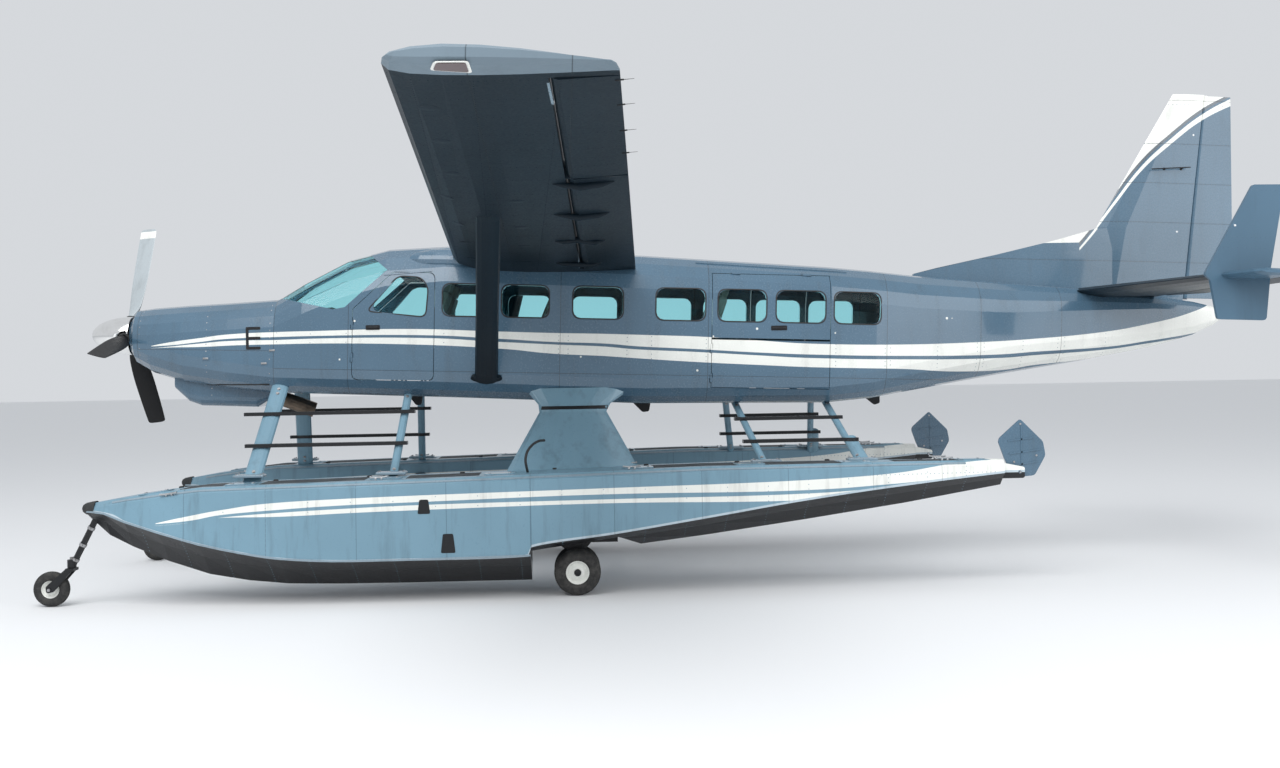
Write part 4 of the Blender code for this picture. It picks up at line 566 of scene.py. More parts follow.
class Shape:
    """Gathers solids into one mesh, and ends as a piece that rides on a body."""

    def __init__(self):
        self.bm = bmesh.new()
        self.slot = 0

    def face(self, verts):
        face = self.bm.faces.new(verts)
        face.material_index = self.slot
        return face

    def loft(self, rings, closed=False):
        """A skin through rings of points, capped at both ends unless it closes on itself."""
        made = [[self.bm.verts.new(point) for point in ring] for ring in rings]
        pairs = list(zip(made, made[1:]))
        if closed:
            pairs.append((made[-1], made[0]))
        for ring_a, ring_b in pairs:
            for i in range(len(ring_a)):
                j = (i + 1) % len(ring_a)
                self.face((ring_a[i], ring_a[j], ring_b[j], ring_b[i]))
        if not closed:
            self.face(list(reversed(made[0])))
            self.face(made[-1])
        return self

    def turned(self, profile, centre, axis, steps=48):
        """A solid of revolution; the profile is (radius, distance along the axis), closed on itself."""
        axis = Vector(axis).normalized()
        side = axis.orthogonal().normalized()
        other = axis.cross(side)
        centre = Vector(centre)
        rings = []
        for k in range(steps):
            angle = 2 * math.pi * k / steps
            radial = side * math.cos(angle) + other * math.sin(angle)
            rings.append([centre + radial * max(radius, 0.0004) + axis * along for radius, along in profile])
        return self.loft(rings, closed=True)

    def rod(self, start, end, radius, sides=16, end_radius=None):
        start, end = Vector(start), Vector(end)
        axis = (end - start).normalized()
        side = axis.orthogonal().normalized()
        other = axis.cross(side)
        rings = []
        for centre, size in ((start, radius), (end, radius if end_radius is None else end_radius)):
            rings.append([centre + (side * math.cos(a) + other * math.sin(a)) * size
                          for a in (2 * math.pi * k / sides for k in range(sides))])
        return self.loft(rings)

    def tube(self, points, radius, sides=10):
        """A round tube along a smooth path."""
        points = [Vector(point) for point in points]
        normal = (points[1] - points[0]).orthogonal().normalized()
        rings = []
        for k, point in enumerate(points):
            ahead = points[min(k + 1, len(points) - 1)] - points[max(k - 1, 0)]
            ahead.normalize()
            normal = (normal - ahead * normal.dot(ahead)).normalized()
            other = ahead.cross(normal)
            rings.append([point + (normal * math.cos(a) + other * math.sin(a)) * radius
                          for a in (2 * math.pi * i / sides for i in range(sides))])
        return self.loft(rings)

    def block(self, centre, size, bevel=0.003, axes=None, segments=2):
        """A box with rounded edges; axes is a rotation."""
        made = bmesh.ops.create_cube(self.bm, size=1.0)["verts"]
        bmesh.ops.scale(self.bm, vec=size, verts=made)
        if bevel:
            edges = list({edge for vert in made for edge in vert.link_edges})
            ends = bmesh.ops.bevel(self.bm, geom=edges, offset=min(bevel, min(size) * 0.45), segments=segments,
                                   affect="EDGES", profile=0.5)
            made = list({vert for face in ends["faces"] for vert in face.verts} | {v for v in made if v.is_valid})
        matrix = Matrix.Translation(centre) @ (axes.to_4x4() if axes is not None else Matrix.Identity(4))
        bmesh.ops.transform(self.bm, matrix=matrix, verts=made)
        for face in {face for vert in made for face in vert.link_faces}:
            face.material_index = self.slot
        return self

    def plate(self, outline, thickness, place):
        """A flat plate: a 2D outline pushed up from a plane by its thickness; place is a 4x4 matrix."""
        low = [place @ Vector((x, y, 0)) for x, y in outline]
        high = [place @ Vector((x, y, thickness)) for x, y in outline]
        return self.loft([low, high])

    def finish(self, name, materials, body, frame_matrix=None, angle=35, soft=0):
        """End as an object on a body; soft adds that many levels of subdivision."""
        if frame_matrix is not None:
            bmesh.ops.transform(self.bm, matrix=frame_matrix, verts=self.bm.verts)
        bmesh.ops.recalc_face_normals(self.bm, faces=self.bm.faces)
        mesh = bpy.data.meshes.new(name)
        self.bm.to_mesh(mesh)
        self.bm.free()
        return new_piece(name, mesh, materials, body, angle, soft)


def new_piece(name, mesh, materials, body, angle=35, soft=0):
    """An object from a mesh, with its finish and the body that carries it."""
    piece = bpy.data.objects.new(name, mesh)
    bpy.context.scene.collection.objects.link(piece)
    names = (materials,) if isinstance(materials, str) else materials
    if mesh.materials:
        mesh.materials.clear()
    for material in names:
        mesh.materials.append(finish_of(material))
    mesh.shade_smooth()
    if soft:
        modifier = piece.modifiers.new("soft", "SUBSURF")
        modifier.levels = modifier.render_levels = soft
    else:
        mesh.set_sharp_from_angle(angle=math.radians(angle))
    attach(piece, body)
    return piece


def rounded(corners, radius, steps=5):
    """A polygon with its corners rounded."""
    points = []
    count = len(corners)
    for i in range(count):
        here = Vector(corners[i])
        back, ahead = Vector(corners[i - 1]) - here, Vector(corners[(i + 1) % count]) - here
        reach = min(radius, back.length * 0.45, ahead.length * 0.45)
        start, end = here + back.normalized() * reach, here + ahead.normalized() * reach
        for k in range(steps + 1):
            t = k / steps
            points.append(tuple(start.lerp(here, t).lerp(here.lerp(end, t), t)))
    return points


def rectangle(width, height, radius=0.01, steps=4):
    corners = ((-width / 2, -height / 2), (width / 2, -height / 2), (width / 2, height / 2), (-width / 2, height / 2))
    return rounded(corners, radius, steps)


def frame_at(point, normal, along=(1, 0, 0)):
    """A matrix with Z on the normal and X as near as may be to a direction."""
    z = Vector(normal).normalized()
    x = Vector(along)
    x = (x - z * x.dot(z)).normalized()
    y = z.cross(x)
    matrix = Matrix((x, y, z)).transposed().to_4x4()
    matrix.translation = Vector(point)
    return matrix


class Skin:
    """Finds points on the outside of CAD nodes."""

    def __init__(self, *names):
        self.names = names
        self.trees = {}
        for name in names:
            mesh = frame["nodes"][name].data
            self.trees[name] = BVHTree.FromPolygons([v.co for v in mesh.vertices],
                                                    [p.vertices for p in mesh.polygons])

    def hit(self, origin, direction):
        """The nearest (node, point, normal) along a ray, or None."""
        best = None
        for name, tree in self.trees.items():
            point, normal, _, distance = tree.ray_cast(origin, direction)
            if point is not None and (best is None or distance < best[3]):
                best = (name, point, normal, distance)
        return best[:3] if best else None

    def side(self, x, z, side, frame_matrix=AIRFRAME, reach=4.0, middle=0.0):
        """Seen square from one side, at a place in the frame."""
        origin = frame_matrix @ Vector((x, middle + side * reach, z))
        return self.hit(origin, Vector((0, -side, 0)))

    def vertical(self, x, y, up, frame_matrix=AIRFRAME):
        """Seen from above (up is 1) or from below (-1)."""
        origin = frame_matrix @ Vector((x, y, up * 6.0))
        return self.hit(origin, Vector((0, 0, -up)))


BODY_OF = {}
for body_name, members in frame["record"]["behaviour"]["bodies"].items():
    for member in members:
        BODY_OF[member] = body_name


def make_geometry_groups():
    """Node trees for rows of studs along paths, and for rings and rows of parts."""
    shared = (("Geometry", "NodeSocketGeometry", None),)
    size = "NodeSocketFloat"
    graph, start, end = new_group(
        "stud_rows",
        shared + (("Pitch", size, 0.05), ("Radius", size, 0.005), ("Tip", size, 0.003), ("Height", size, 0.002),
                  ("Sides", "NodeSocketInt", 6), ("Material", "NodeSocketMaterial", None)),
        shared, "GeometryNodeTree")
    curve = graph.add("GeometryNodeMeshToCurve", {"Mesh": start.outputs["Geometry"]})
    points = graph.add("GeometryNodeResampleCurve", {"Curve": curve.outputs[0]}, mode="LENGTH")
    graph.feed(points.inputs["Length"], start.outputs["Pitch"])
    facing = graph.add("GeometryNodeInputNamedAttribute", {"Name": "facing"}, data_type="FLOAT_VECTOR")
    turn = graph.add("FunctionNodeAlignRotationToVector", {"Vector": facing.outputs[0]}, axis="Z")
    stud = graph.add("GeometryNodeMeshCone", {"Vertices": start.outputs["Sides"], "Radius Top": start.outputs["Tip"],
                                              "Radius Bottom": start.outputs["Radius"],
                                              "Depth": start.outputs["Height"]})
    placed = graph.add("GeometryNodeInstanceOnPoints", {"Points": points.outputs[0], "Instance": stud.outputs[0],
                                                        "Rotation": turn.outputs[0]})
    real = graph.add("GeometryNodeRealizeInstances", {"Geometry": placed.outputs[0]})
    done = graph.add("GeometryNodeSetMaterial", {"Geometry": real.outputs[0], "Material": start.outputs["Material"]})
    graph.feed(end.inputs[0], done.outputs[0])

    graph, start, end = new_group(
        "bolt_ring",
        shared + (("Count", "NodeSocketInt", 8), ("Ring", size, 0.05), ("Radius", size, 0.006),
                  ("Height", size, 0.008), ("Material", "NodeSocketMaterial", None)),
        shared, "GeometryNodeTree")
    circle = graph.add("GeometryNodeMeshCircle", {"Vertices": start.outputs["Count"], "Radius": start.outputs["Ring"]})
    bolt = graph.add("GeometryNodeMeshCylinder", {"Vertices": 6, "Radius": start.outputs["Radius"],
                                                  "Depth": start.outputs["Height"]})
    placed = graph.add("GeometryNodeInstanceOnPoints", {"Points": circle.outputs[0], "Instance": bolt.outputs[0]})
    real = graph.add("GeometryNodeRealizeInstances", {"Geometry": placed.outputs[0]})
    done = graph.add("GeometryNodeSetMaterial", {"Geometry": real.outputs[0], "Material": start.outputs["Material"]})
    graph.feed(end.inputs[0], done.outputs[0])

    graph, start, end = new_group(
        "slat_row",
        shared + (("Count", "NodeSocketInt", 6), ("Spacing", size, 0.03), ("Slat", VECTOR, (0.02, 0.1, 0.004)),
                  ("Tilt", size, 0.5), ("Material", "NodeSocketMaterial", None)),
        shared, "GeometryNodeTree")
    offset = graph.add("ShaderNodeCombineXYZ", {"X": start.outputs["Spacing"]})
    line = graph.add("GeometryNodeMeshLine", {"Count": start.outputs["Count"], "Offset": offset.outputs[0]})
    slat = graph.add("GeometryNodeMeshCube", {"Size": start.outputs["Slat"]})
    tilt = graph.add("ShaderNodeCombineXYZ", {"Y": start.outputs["Tilt"]})
    placed = graph.add("GeometryNodeInstanceOnPoints", {"Points": line.outputs[0], "Instance": slat.outputs[0],
                                                        "Rotation": tilt.outputs[0]})
    real = graph.add("GeometryNodeRealizeInstances", {"Geometry": placed.outputs[0]})
    done = graph.add("GeometryNodeSetMaterial", {"Geometry": real.outputs[0], "Material": start.outputs["Material"]})
    graph.feed(end.inputs[0], done.outputs[0])


def run_tree(tree_name, mesh, values):
    """The plain mesh that a geometry tree makes from a mesh and its named inputs."""
    tree = bpy.data.node_groups[tree_name]
    carrier = bpy.data.objects.new("carrier", mesh)
    bpy.context.scene.collection.objects.link(carrier)
    modifier = carrier.modifiers.new("tree", "NODES")
    modifier.node_group = tree
    for item in tree.interface.items_tree:
        if item.item_type == "SOCKET" and item.in_out == "INPUT" and item.name in values:
            modifier[item.identifier] = values[item.name]
    carrier.update_tag()
    depsgraph = bpy.context.evaluated_depsgraph_get()
    result = bpy.data.meshes.new_from_object(carrier.evaluated_get(depsgraph))
    bpy.data.objects.remove(carrier)
    return result


def stud_piece(name, paths, material, body, pitch, radius, height, tip=None, sides=6):
    """Studs along paths of (point, facing) pairs, as one piece."""
    mesh = bpy.data.meshes.new(name + "_paths")
    places, edges, facings = [], [], []
    for path in paths:
        for k, (point, facing) in enumerate(path):
            if k:
                edges.append((len(places) - 1, len(places)))
            places.append(point)
            facings.append(facing)
    mesh.from_pydata(places, edges, [])
    attribute = mesh.attributes.new("facing", "FLOAT_VECTOR", "POINT")
    for item, facing in zip(attribute.data, facings):
        item.vector = facing
    result = run_tree("stud_rows", mesh, {
        "Pitch": pitch, "Radius": radius, "Tip": radius * 0.55 if tip is None else tip, "Height": height,
        "Sides": sides, "Material": finish_of(material)})
    return new_piece(name, result, material, body, angle=50)


def ring_piece(name, centres, count, ring, radius, height, material, body):
    """Rings of bolts, one for each (place matrix) in centres, as one piece."""
    shape = bmesh.new()
    for place in centres:
        mesh = run_tree("bolt_ring", bpy.data.meshes.new("empty"), {
            "Count": count, "Ring": ring, "Radius": radius, "Height": height, "Material": finish_of(material)})
        mesh.transform(place)
        shape.from_mesh(mesh)
    result = bpy.data.meshes.new(name)
    shape.to_mesh(result)
    shape.free()
    return new_piece(name, result, material, body, angle=40)


def rows_on_skin(skin, lines, step=0.04, lift=0.0):
    """Paths of (point, normal) on each node's skin, from lines of rays; a path ends where the node changes."""
    found = {}
    for line in lines:
        path, current = [], None
        for origin, direction in line:
            hit = skin.hit(origin, direction)
            name = hit[0] if hit else None
            jump = path and hit and (hit[1] - path[-1][0]).length > 4 * step
            if name != current or jump:
                if current and len(path) > 2:
                    found.setdefault(current, []).append(path[:-1])
                path, current = [], name
            if hit:
                path.append((hit[1] + hit[2] * lift, hit[2]))
        if current and len(path) > 2:
            found.setdefault(current, []).append(path[:-1])
    return found


def stepped(start, end, step):
    count = max(2, round((Vector(end) - Vector(start)).length / step))
    return [Vector(start).lerp(Vector(end), k / count) for k in range(count + 1)]


SHELL = ("fuselage", "engine_cowl", "crew_door_left", "crew_door_right", "cargo_door_upper", "cargo_door_lower",
         "airstair_upper", "airstair_lower")
PANES = ("windshield_left", "windshield_right", "crew_glass_left", "crew_glass_right", "cabin_glass_left",
         "cabin_glass_right", "rear_glass_left", "rear_glass_right", "cargo_glass", "airstair_glass")


def assign(finish, *nodes):
    """Give CAD nodes a finish."""
    for node in nodes:
        for slot in frame["nodes"][node].material_slots:
            slot.material = finish_of(finish)


class PaintOperator(bpy.types.Operator):
    """Make every finish and put it on the CAD nodes"""
    bl_idname = "floatplane.paint"
    bl_label = "Paint"

    def execute(self, context):
        make_coordinate_groups()
        make_band_group("fuselage_stripes", FUSELAGE_STRIPES)
        make_band_group("float_stripes", FLOAT_STRIPES)
        make_band_group("fin_bands", FIN_BANDS)
        make_surface_groups()
        make_geometry_groups()
        make_materials(context.scene.floatplane_paint)
        assign("slate_paint", *SHELL)
        assign("fin_paint", "vertical_fin", "rudder")
        assign("wing_paint", "wing", "flap_left", "flap_right", "aileron_left", "aileron_right", "elevator_left",
               "elevator_right", "wing_strut_left", "wing_strut_right")
        assign("tail_paint_and_shade", "stabilizer")
        assign("float_paint", "float_left", "float_right")
        assign("rung_paint", "front_struts_left", "front_struts_right", "rear_struts_left", "rear_struts_right")
        assign("plain_blue", "pylon_left", "pylon_right")
        assign("plain_slate", "water_rudder_left", "water_rudder_right")
        assign("black_steel", "spreader_front", "spreader_rear", "main_leg_left", "main_leg_right", "nose_leg_left", "nose_leg_right", "nose_fork_left",
               "nose_fork_right")
        assign("burnt_steel", "engine_block")
        assign("trim_plastic", "instrument_panel")
        assign("glass", *PANES)
        return {"FINISHED"}


def trim_ring(skin, name, outline, side, radius, material, body, lift=0.0):
    """A bead that follows an outline on the skin, seen from one side."""
    points = []
    for x, z in outline:
        hit = skin.side(x, z, side)
        if hit:
            points.append(hit[1] + hit[2] * lift)
    shape = Shape()
    count = len(points)
    rings = []
    for k, point in enumerate(points):
        ahead = (points[(k + 1) % count] - points[k - 1]).normalized()
        out = Vector((0, side, 0))
        out = (out - ahead * out.dot(ahead)).normalized()
        across = ahead.cross(out)
        rings.append([point + (across * math.cos(a) * 1.6 + out * math.sin(a)) * radius
                      for a in (2 * math.pi * i / 8 for i in range(8))])
    shape.loft(rings, closed=True)
    return shape.finish(name, material, body)


class GlazingOperator(bpy.types.Operator):
    """Rubber seals round every cabin window and crew window"""
    bl_idname = "floatplane.glazing"
    bl_label = "Glazing"

    def execute(self, context):
        skin = Skin(*SHELL, *PANES)
        z_low, z_high = WINDOW_Z
        for label, side in SIDES:
            for k, (front, rear, left_body, right_body) in enumerate(WINDOWS):
                grow = 0.006
                corners = ((front - grow, z_low - grow), (rear + grow, z_low - grow), (rear + grow, z_high + grow),
                           (front - grow, z_high + grow))
                outline = rounded(corners, WINDOW_RADIUS + grow, 6)
                body = left_body if side < 0 else right_body
                trim_ring(skin, "window_seal_%s_%d" % (label, k + 1), outline, side, 0.0045, "seal_rubber", body)
            corners = tuple((x + (0.006 if x > -0.5 else -0.006), z + (0.006 if z > 0.4 else -0.006))
                            for x, z in CREW_WINDOW)
            trim_ring(skin, "crew_window_seal_" + label, rounded(corners, 0.07, 6), side, 0.0045, "seal_rubber",
                      "crew_door_" + label)
        return {"FINISHED"}


class PropellerOperator(bpy.types.Operator):
    """Polished spinner, feathered blades, and their root seals"""
    bl_idname = "floatplane.propeller"
    bl_label = "Propeller"

    def execute(self, context):
        back = HUB_X + 0.045
        spinner = Shape().turned(SPINNER_PROFILE, (back, 0, 0), (-1, 0, 0), 96)
        spinner = spinner.finish("spinner_shell", "polished", "propeller")
        holes = Shape()
        angles = [math.pi + BLADE_DROOP + 2 * math.pi * k / 3 for k in range(3)]
        for angle in angles:
            along = Vector((0, math.cos(angle), math.sin(angle)))
            root = Vector((BLADE_ROOT_X - 0.012, 0, 0))
            holes.rod(root + along * 0.12, root + along * 0.30, 0.080, 32)
        cutter = holes.finish("holes", "polished", "propeller")
        modifier = spinner.modifiers.new("cut", "BOOLEAN")
        modifier.object = cutter
        modifier.solver = "EXACT"
        cut_mesh = bpy.data.meshes.new_from_object(
            spinner.evaluated_get(bpy.context.evaluated_depsgraph_get()))
        spinner.modifiers.clear()
        spinner.data = cut_mesh
        spinner.data.transform(AIRFRAME)
        bpy.data.objects.remove(cutter)
        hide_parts("spinner")

        blades = Shape()
        boots, hub = Shape(), Shape()
        hub.rod((HUB_X - 0.10, 0, 0), (HUB_X + 0.035, 0, 0), 0.118, 48)
        hub.rod((HUB_X + 0.028, 0, 0), (HUB_X + 0.040, 0, 0), 0.201, 64)
        for angle in angles:
            along = Vector((0, math.cos(angle), math.sin(angle)))
            flat = Vector((1, 0, 0)).cross(along)
            rings = []
            for share, chord, thickness, shift, pitch in smooth_stations(BLADE_STATIONS, 5):
                turn = math.radians(pitch)
                fore = Vector((1, 0, 0)) * math.cos(turn) + flat * math.sin(turn)
                across = along.cross(fore)
                centre = Vector((BLADE_ROOT_X + shift, 0, 0)) + along * share * BLADE_RADIUS
                rings.append(blade_section(centre, fore, across, chord, thickness, share))
            made = [[blades.bm.verts.new(point) for point in ring] for ring in rings]
            count = len(rings[0])
            for ring_a, ring_b in zip(made, made[1:]):
                for i in range(count):
                    blades.slot = 0 if i < count // 2 else 1
                    j = (i + 1) % count
                    blades.face((ring_a[i], ring_a[j], ring_b[j], ring_b[i]))
            blades.slot = 0
            blades.face(list(reversed(made[0])))
            blades.face(made[-1])
            root = Vector((BLADE_ROOT_X - 0.014, 0, 0))
            boots.turned(((0.047, 0.0), (0.062, 0.0), (0.064, 0.012), (0.056, 0.024), (0.047, 0.024)),
                         root + along * 0.190, along, 40)
        blades = blades.finish("blade_set", ("blade_back", "blade_face"), "propeller", AIRFRAME, angle=60)
        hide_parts("propeller_blades")
        boots = boots.finish("blade_root_seals", "seal_rubber", "propeller", AIRFRAME)
        hub = hub.finish("propeller_hub", "aluminium", "propeller", AIRFRAME)
        centre = AIRFRAME @ frame_at((back - 0.014, 0, 0), (-1, 0, 0))
        ring_piece("spinner_screws", [centre], 24, 0.2095, 0.0035, 0.010, "fastener_metal", "propeller")
        return {"FINISHED"}


def smooth_stations(stations, steps):
    """Stations filled in with Catmull-Rom steps."""
    filled = []
    for k in range(len(stations) - 1):
        p0, p1 = stations[max(k - 1, 0)], stations[k]
        p2, p3 = stations[k + 1], stations[min(k + 2, len(stations) - 1)]
        for i in range(steps):
            t = i / steps
            filled.append(tuple(0.5 * (2 * b + (c - a) * t + (2 * a - 5 * b + 4 * c - d) * t * t
                                       + (3 * b - a - 3 * c + d) * t ** 3)
                                for a, b, c, d in zip(p0, p1, p2, p3)))
    filled.append(stations[-1])
    return filled


def blade_section(centre, fore, across, chord, thickness, share, count=24):
    """A blade's section: round at the root, an aerofoil farther out."""
    blend = min(1.0, max(0.0, (share - 0.17) / 0.16))
    ring = []
    for k in range(count):
        angle = 2 * math.pi * k / count
        c, s = math.cos(angle), math.sin(angle)
        sharp = s * (1.0 - 0.55 * blend * max(0.0, -c)) * (1.0 if s > 0 or not blend else 1.0 - 0.5 * blend)
        ring.append(centre + fore * (c * chord / 2) + across * (sharp * thickness / 2))
    return ring


MAIN_TYRE = (
    (0.110, -0.0590), (0.121, -0.0680), (0.150, -0.0725), (0.180, -0.0700), (0.203, -0.0600), (0.217, -0.0440),
    (0.2235, -0.0340), (0.2185, -0.0325), (0.2185, -0.0275), (0.2255, -0.0260), (0.2275, -0.0150),
    (0.2225, -0.0130), (0.2225, -0.0080), (0.2280, -0.0065), (0.2280, 0.0065), (0.2225, 0.0080),
    (0.2225, 0.0130), (0.2275, 0.0150), (0.2255, 0.0260), (0.2185, 0.0275), (0.2185, 0.0325),
    (0.2235, 0.0340), (0.217, 0.0440), (0.203, 0.0600), (0.180, 0.0700), (0.150, 0.0725), (0.121, 0.0680),
    (0.110, 0.0590), (0.104, 0.0400), (0.104, -0.0400),
)
MAIN_RIM = (
    (0.030, -0.050), (0.036, -0.056), (0.060, -0.052), (0.074, -0.034), (0.092, -0.030), (0.100, -0.050),
    (0.112, -0.062), (0.118, -0.062), (0.116, -0.054), (0.107, -0.040), (0.104, 0.000), (0.107, 0.040),
    (0.116, 0.054), (0.118, 0.062), (0.112, 0.062), (0.100, 0.050), (0.092, 0.036), (0.074, 0.040),
    (0.060, 0.048), (0.036, 0.050), (0.030, 0.048),
)


def scaled(profile, radius_factor, width_factor):
    return [(radius * radius_factor, along * width_factor) for radius, along in profile]


class WheelOperator(bpy.types.Operator):
    """Tyres with tread grooves, rims with bolts, brake discs, and the nose wheels"""
    bl_idname = "floatplane.wheels"
    bl_label = "Wheels"

    def execute(self, context):
        settings = context.scene.floatplane_wheels
        steps = settings.steps
        for label, side in SIDES:
            y = side * FLOAT_Y
            tyres, rims, shaft, discs = Shape(), Shape(), Shape(), Shape()
            bolt_places = []
            for way in (-1, 1):
                centre = (MAIN_WHEEL.x, y + way * MAIN_TYRE_Y, MAIN_WHEEL.z)
                tyres.turned(MAIN_TYRE, centre, (0, way, 0), steps)
                rims.turned(MAIN_RIM, centre, (0, -way, 0), steps)
                outer = Vector(centre) + Vector((0, way * 0.040, 0))
                bolt_places.append(LEVEL @ frame_at(outer, (0, way, 0)))
                shaft.turned(((0.0, 0.0), (0.028, 0.0), (0.034, 0.012), (0.034, 0.030), (0.020, 0.038), (0.0, 0.040)),
                             outer, (0, way, 0), 40)
                inner = Vector(centre) - Vector((0, way * 0.066, 0))
                discs.turned(((0.040, -0.004), (0.098, -0.004), (0.098, 0.004), (0.040, 0.004)), inner,
                             (0, way, 0), 56)
                valve = Vector(centre) + Vector((0.082, way * 0.036, 0))
                rims.rod(valve, valve + Vector((0.0, way * 0.022, 0)), 0.004, 8)
            shaft.rod((MAIN_WHEEL.x, y - 0.20, MAIN_WHEEL.z), (MAIN_WHEEL.x, y + 0.20, MAIN_WHEEL.z), 0.030, 32)
            body = "main_wheels_" + label
            tyres = tyres.finish("main_tyres_" + label, "tyre_rubber", body, LEVEL, angle=50)
            rims.finish("main_rims_" + label, "white_paint", body, LEVEL, angle=40)
            shaft.finish("main_axle_" + label, "black_steel", body, LEVEL, angle=40)
            discs.finish("brake_discs_" + label, "fastener_metal", body, LEVEL, angle=40)
            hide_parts(body)
            ring_piece("rim_bolts_" + label, bolt_places, settings.bolts, 0.052, 0.0055, 0.012, "fastener_metal", body)

            centre = (NOSE_WHEEL.x, y, NOSE_WHEEL.z)
            nose = "nose_wheel_" + label
            tyre = Shape().turned(scaled(MAIN_TYRE, 0.7456, 0.72), centre, (0, 1, 0), steps)
            tyre = tyre.finish("nose_tyre_" + label, "tyre_rubber", nose, LEVEL, angle=50)
            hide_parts(nose)
            rim = Shape().turned(scaled(MAIN_RIM, 0.7456, 0.72), centre, (0, 1, 0), steps)
            rim.turned(scaled(MAIN_RIM, 0.60, 0.55), centre, (0, -1, 0), steps)
            rim.finish("nose_rim_" + label, "white_paint", nose, LEVEL, angle=40)
            hub = Shape()
            hub.rod((NOSE_WHEEL.x, y - 0.054, NOSE_WHEEL.z), (NOSE_WHEEL.x, y + 0.054, NOSE_WHEEL.z), 0.022, 24)
            hub.rod((NOSE_WHEEL.x, y - 0.080, NOSE_WHEEL.z), (NOSE_WHEEL.x, y + 0.080, NOSE_WHEEL.z), 0.011, 16)
            hub.finish("nose_hub_" + label, "fastener_metal", nose, LEVEL)
            places = [LEVEL @ frame_at((NOSE_WHEEL.x, y + way * 0.030, NOSE_WHEEL.z), (0, way, 0)) for way in (-1, 1)]
            ring_piece("nose_rim_bolts_" + label, places, 6, 0.038, 0.004, 0.008, "fastener_metal", nose)
        return {"FINISHED"}


def cushion(shape, centre, size, axes, crown=0.018):
    """A crowned block whose sides pull in between its corners."""
    nx, ny, nz = 8, 8, 3
    grid = {}
    half = Vector(size) / 2
    for i in range(nx + 1):
        for j in range(ny + 1):
            for k in range(nz + 1):
                if i in (0, nx) or j in (0, ny) or k in (0, nz):
                    u, v, w = 2 * i / nx - 1, 2 * j / ny - 1, 2 * k / nz - 1
                    swell = (1 - u * u) * (1 - v * v)
                    tuck = 0.018 * (1 - v * v) if abs(u) == 1 else 0
                    x = u * (half.x - tuck)
                    y = v * (half.y - (0.014 * (1 - u * u) if abs(v) == 1 else 0))
                    z = w * (half.z + crown * swell)
                    groove = 0.007 * max(0.0, 1 - abs(abs(v) - 0.58) * 10) if w == 1 else 0
                    grid[i, j, k] = shape.bm.verts.new(Vector(centre) + axes @ Vector((x, y, z - groove)))
    def quad(*keys):
        shape.face([grid[key] for key in keys])
    for i in range(nx):
        for j in range(ny):
            quad((i, j, 0), (i, j + 1, 0), (i + 1, j + 1, 0), (i + 1, j, 0))
            quad((i, j, nz), (i + 1, j, nz), (i + 1, j + 1, nz), (i, j + 1, nz))
    for k in range(nz):
        for i in range(nx):
            quad((i, 0, k), (i + 1, 0, k), (i + 1, 0, k + 1), (i, 0, k + 1))
            quad((i, ny, k), (i, ny, k + 1), (i + 1, ny, k + 1), (i + 1, ny, k))
        for j in range(ny):
            quad((0, j, k), (0, j, k + 1), (0, j + 1, k + 1), (0, j + 1, k))
            quad((nx, j, k), (nx, j + 1, k), (nx, j + 1, k + 1), (nx, j, k + 1))


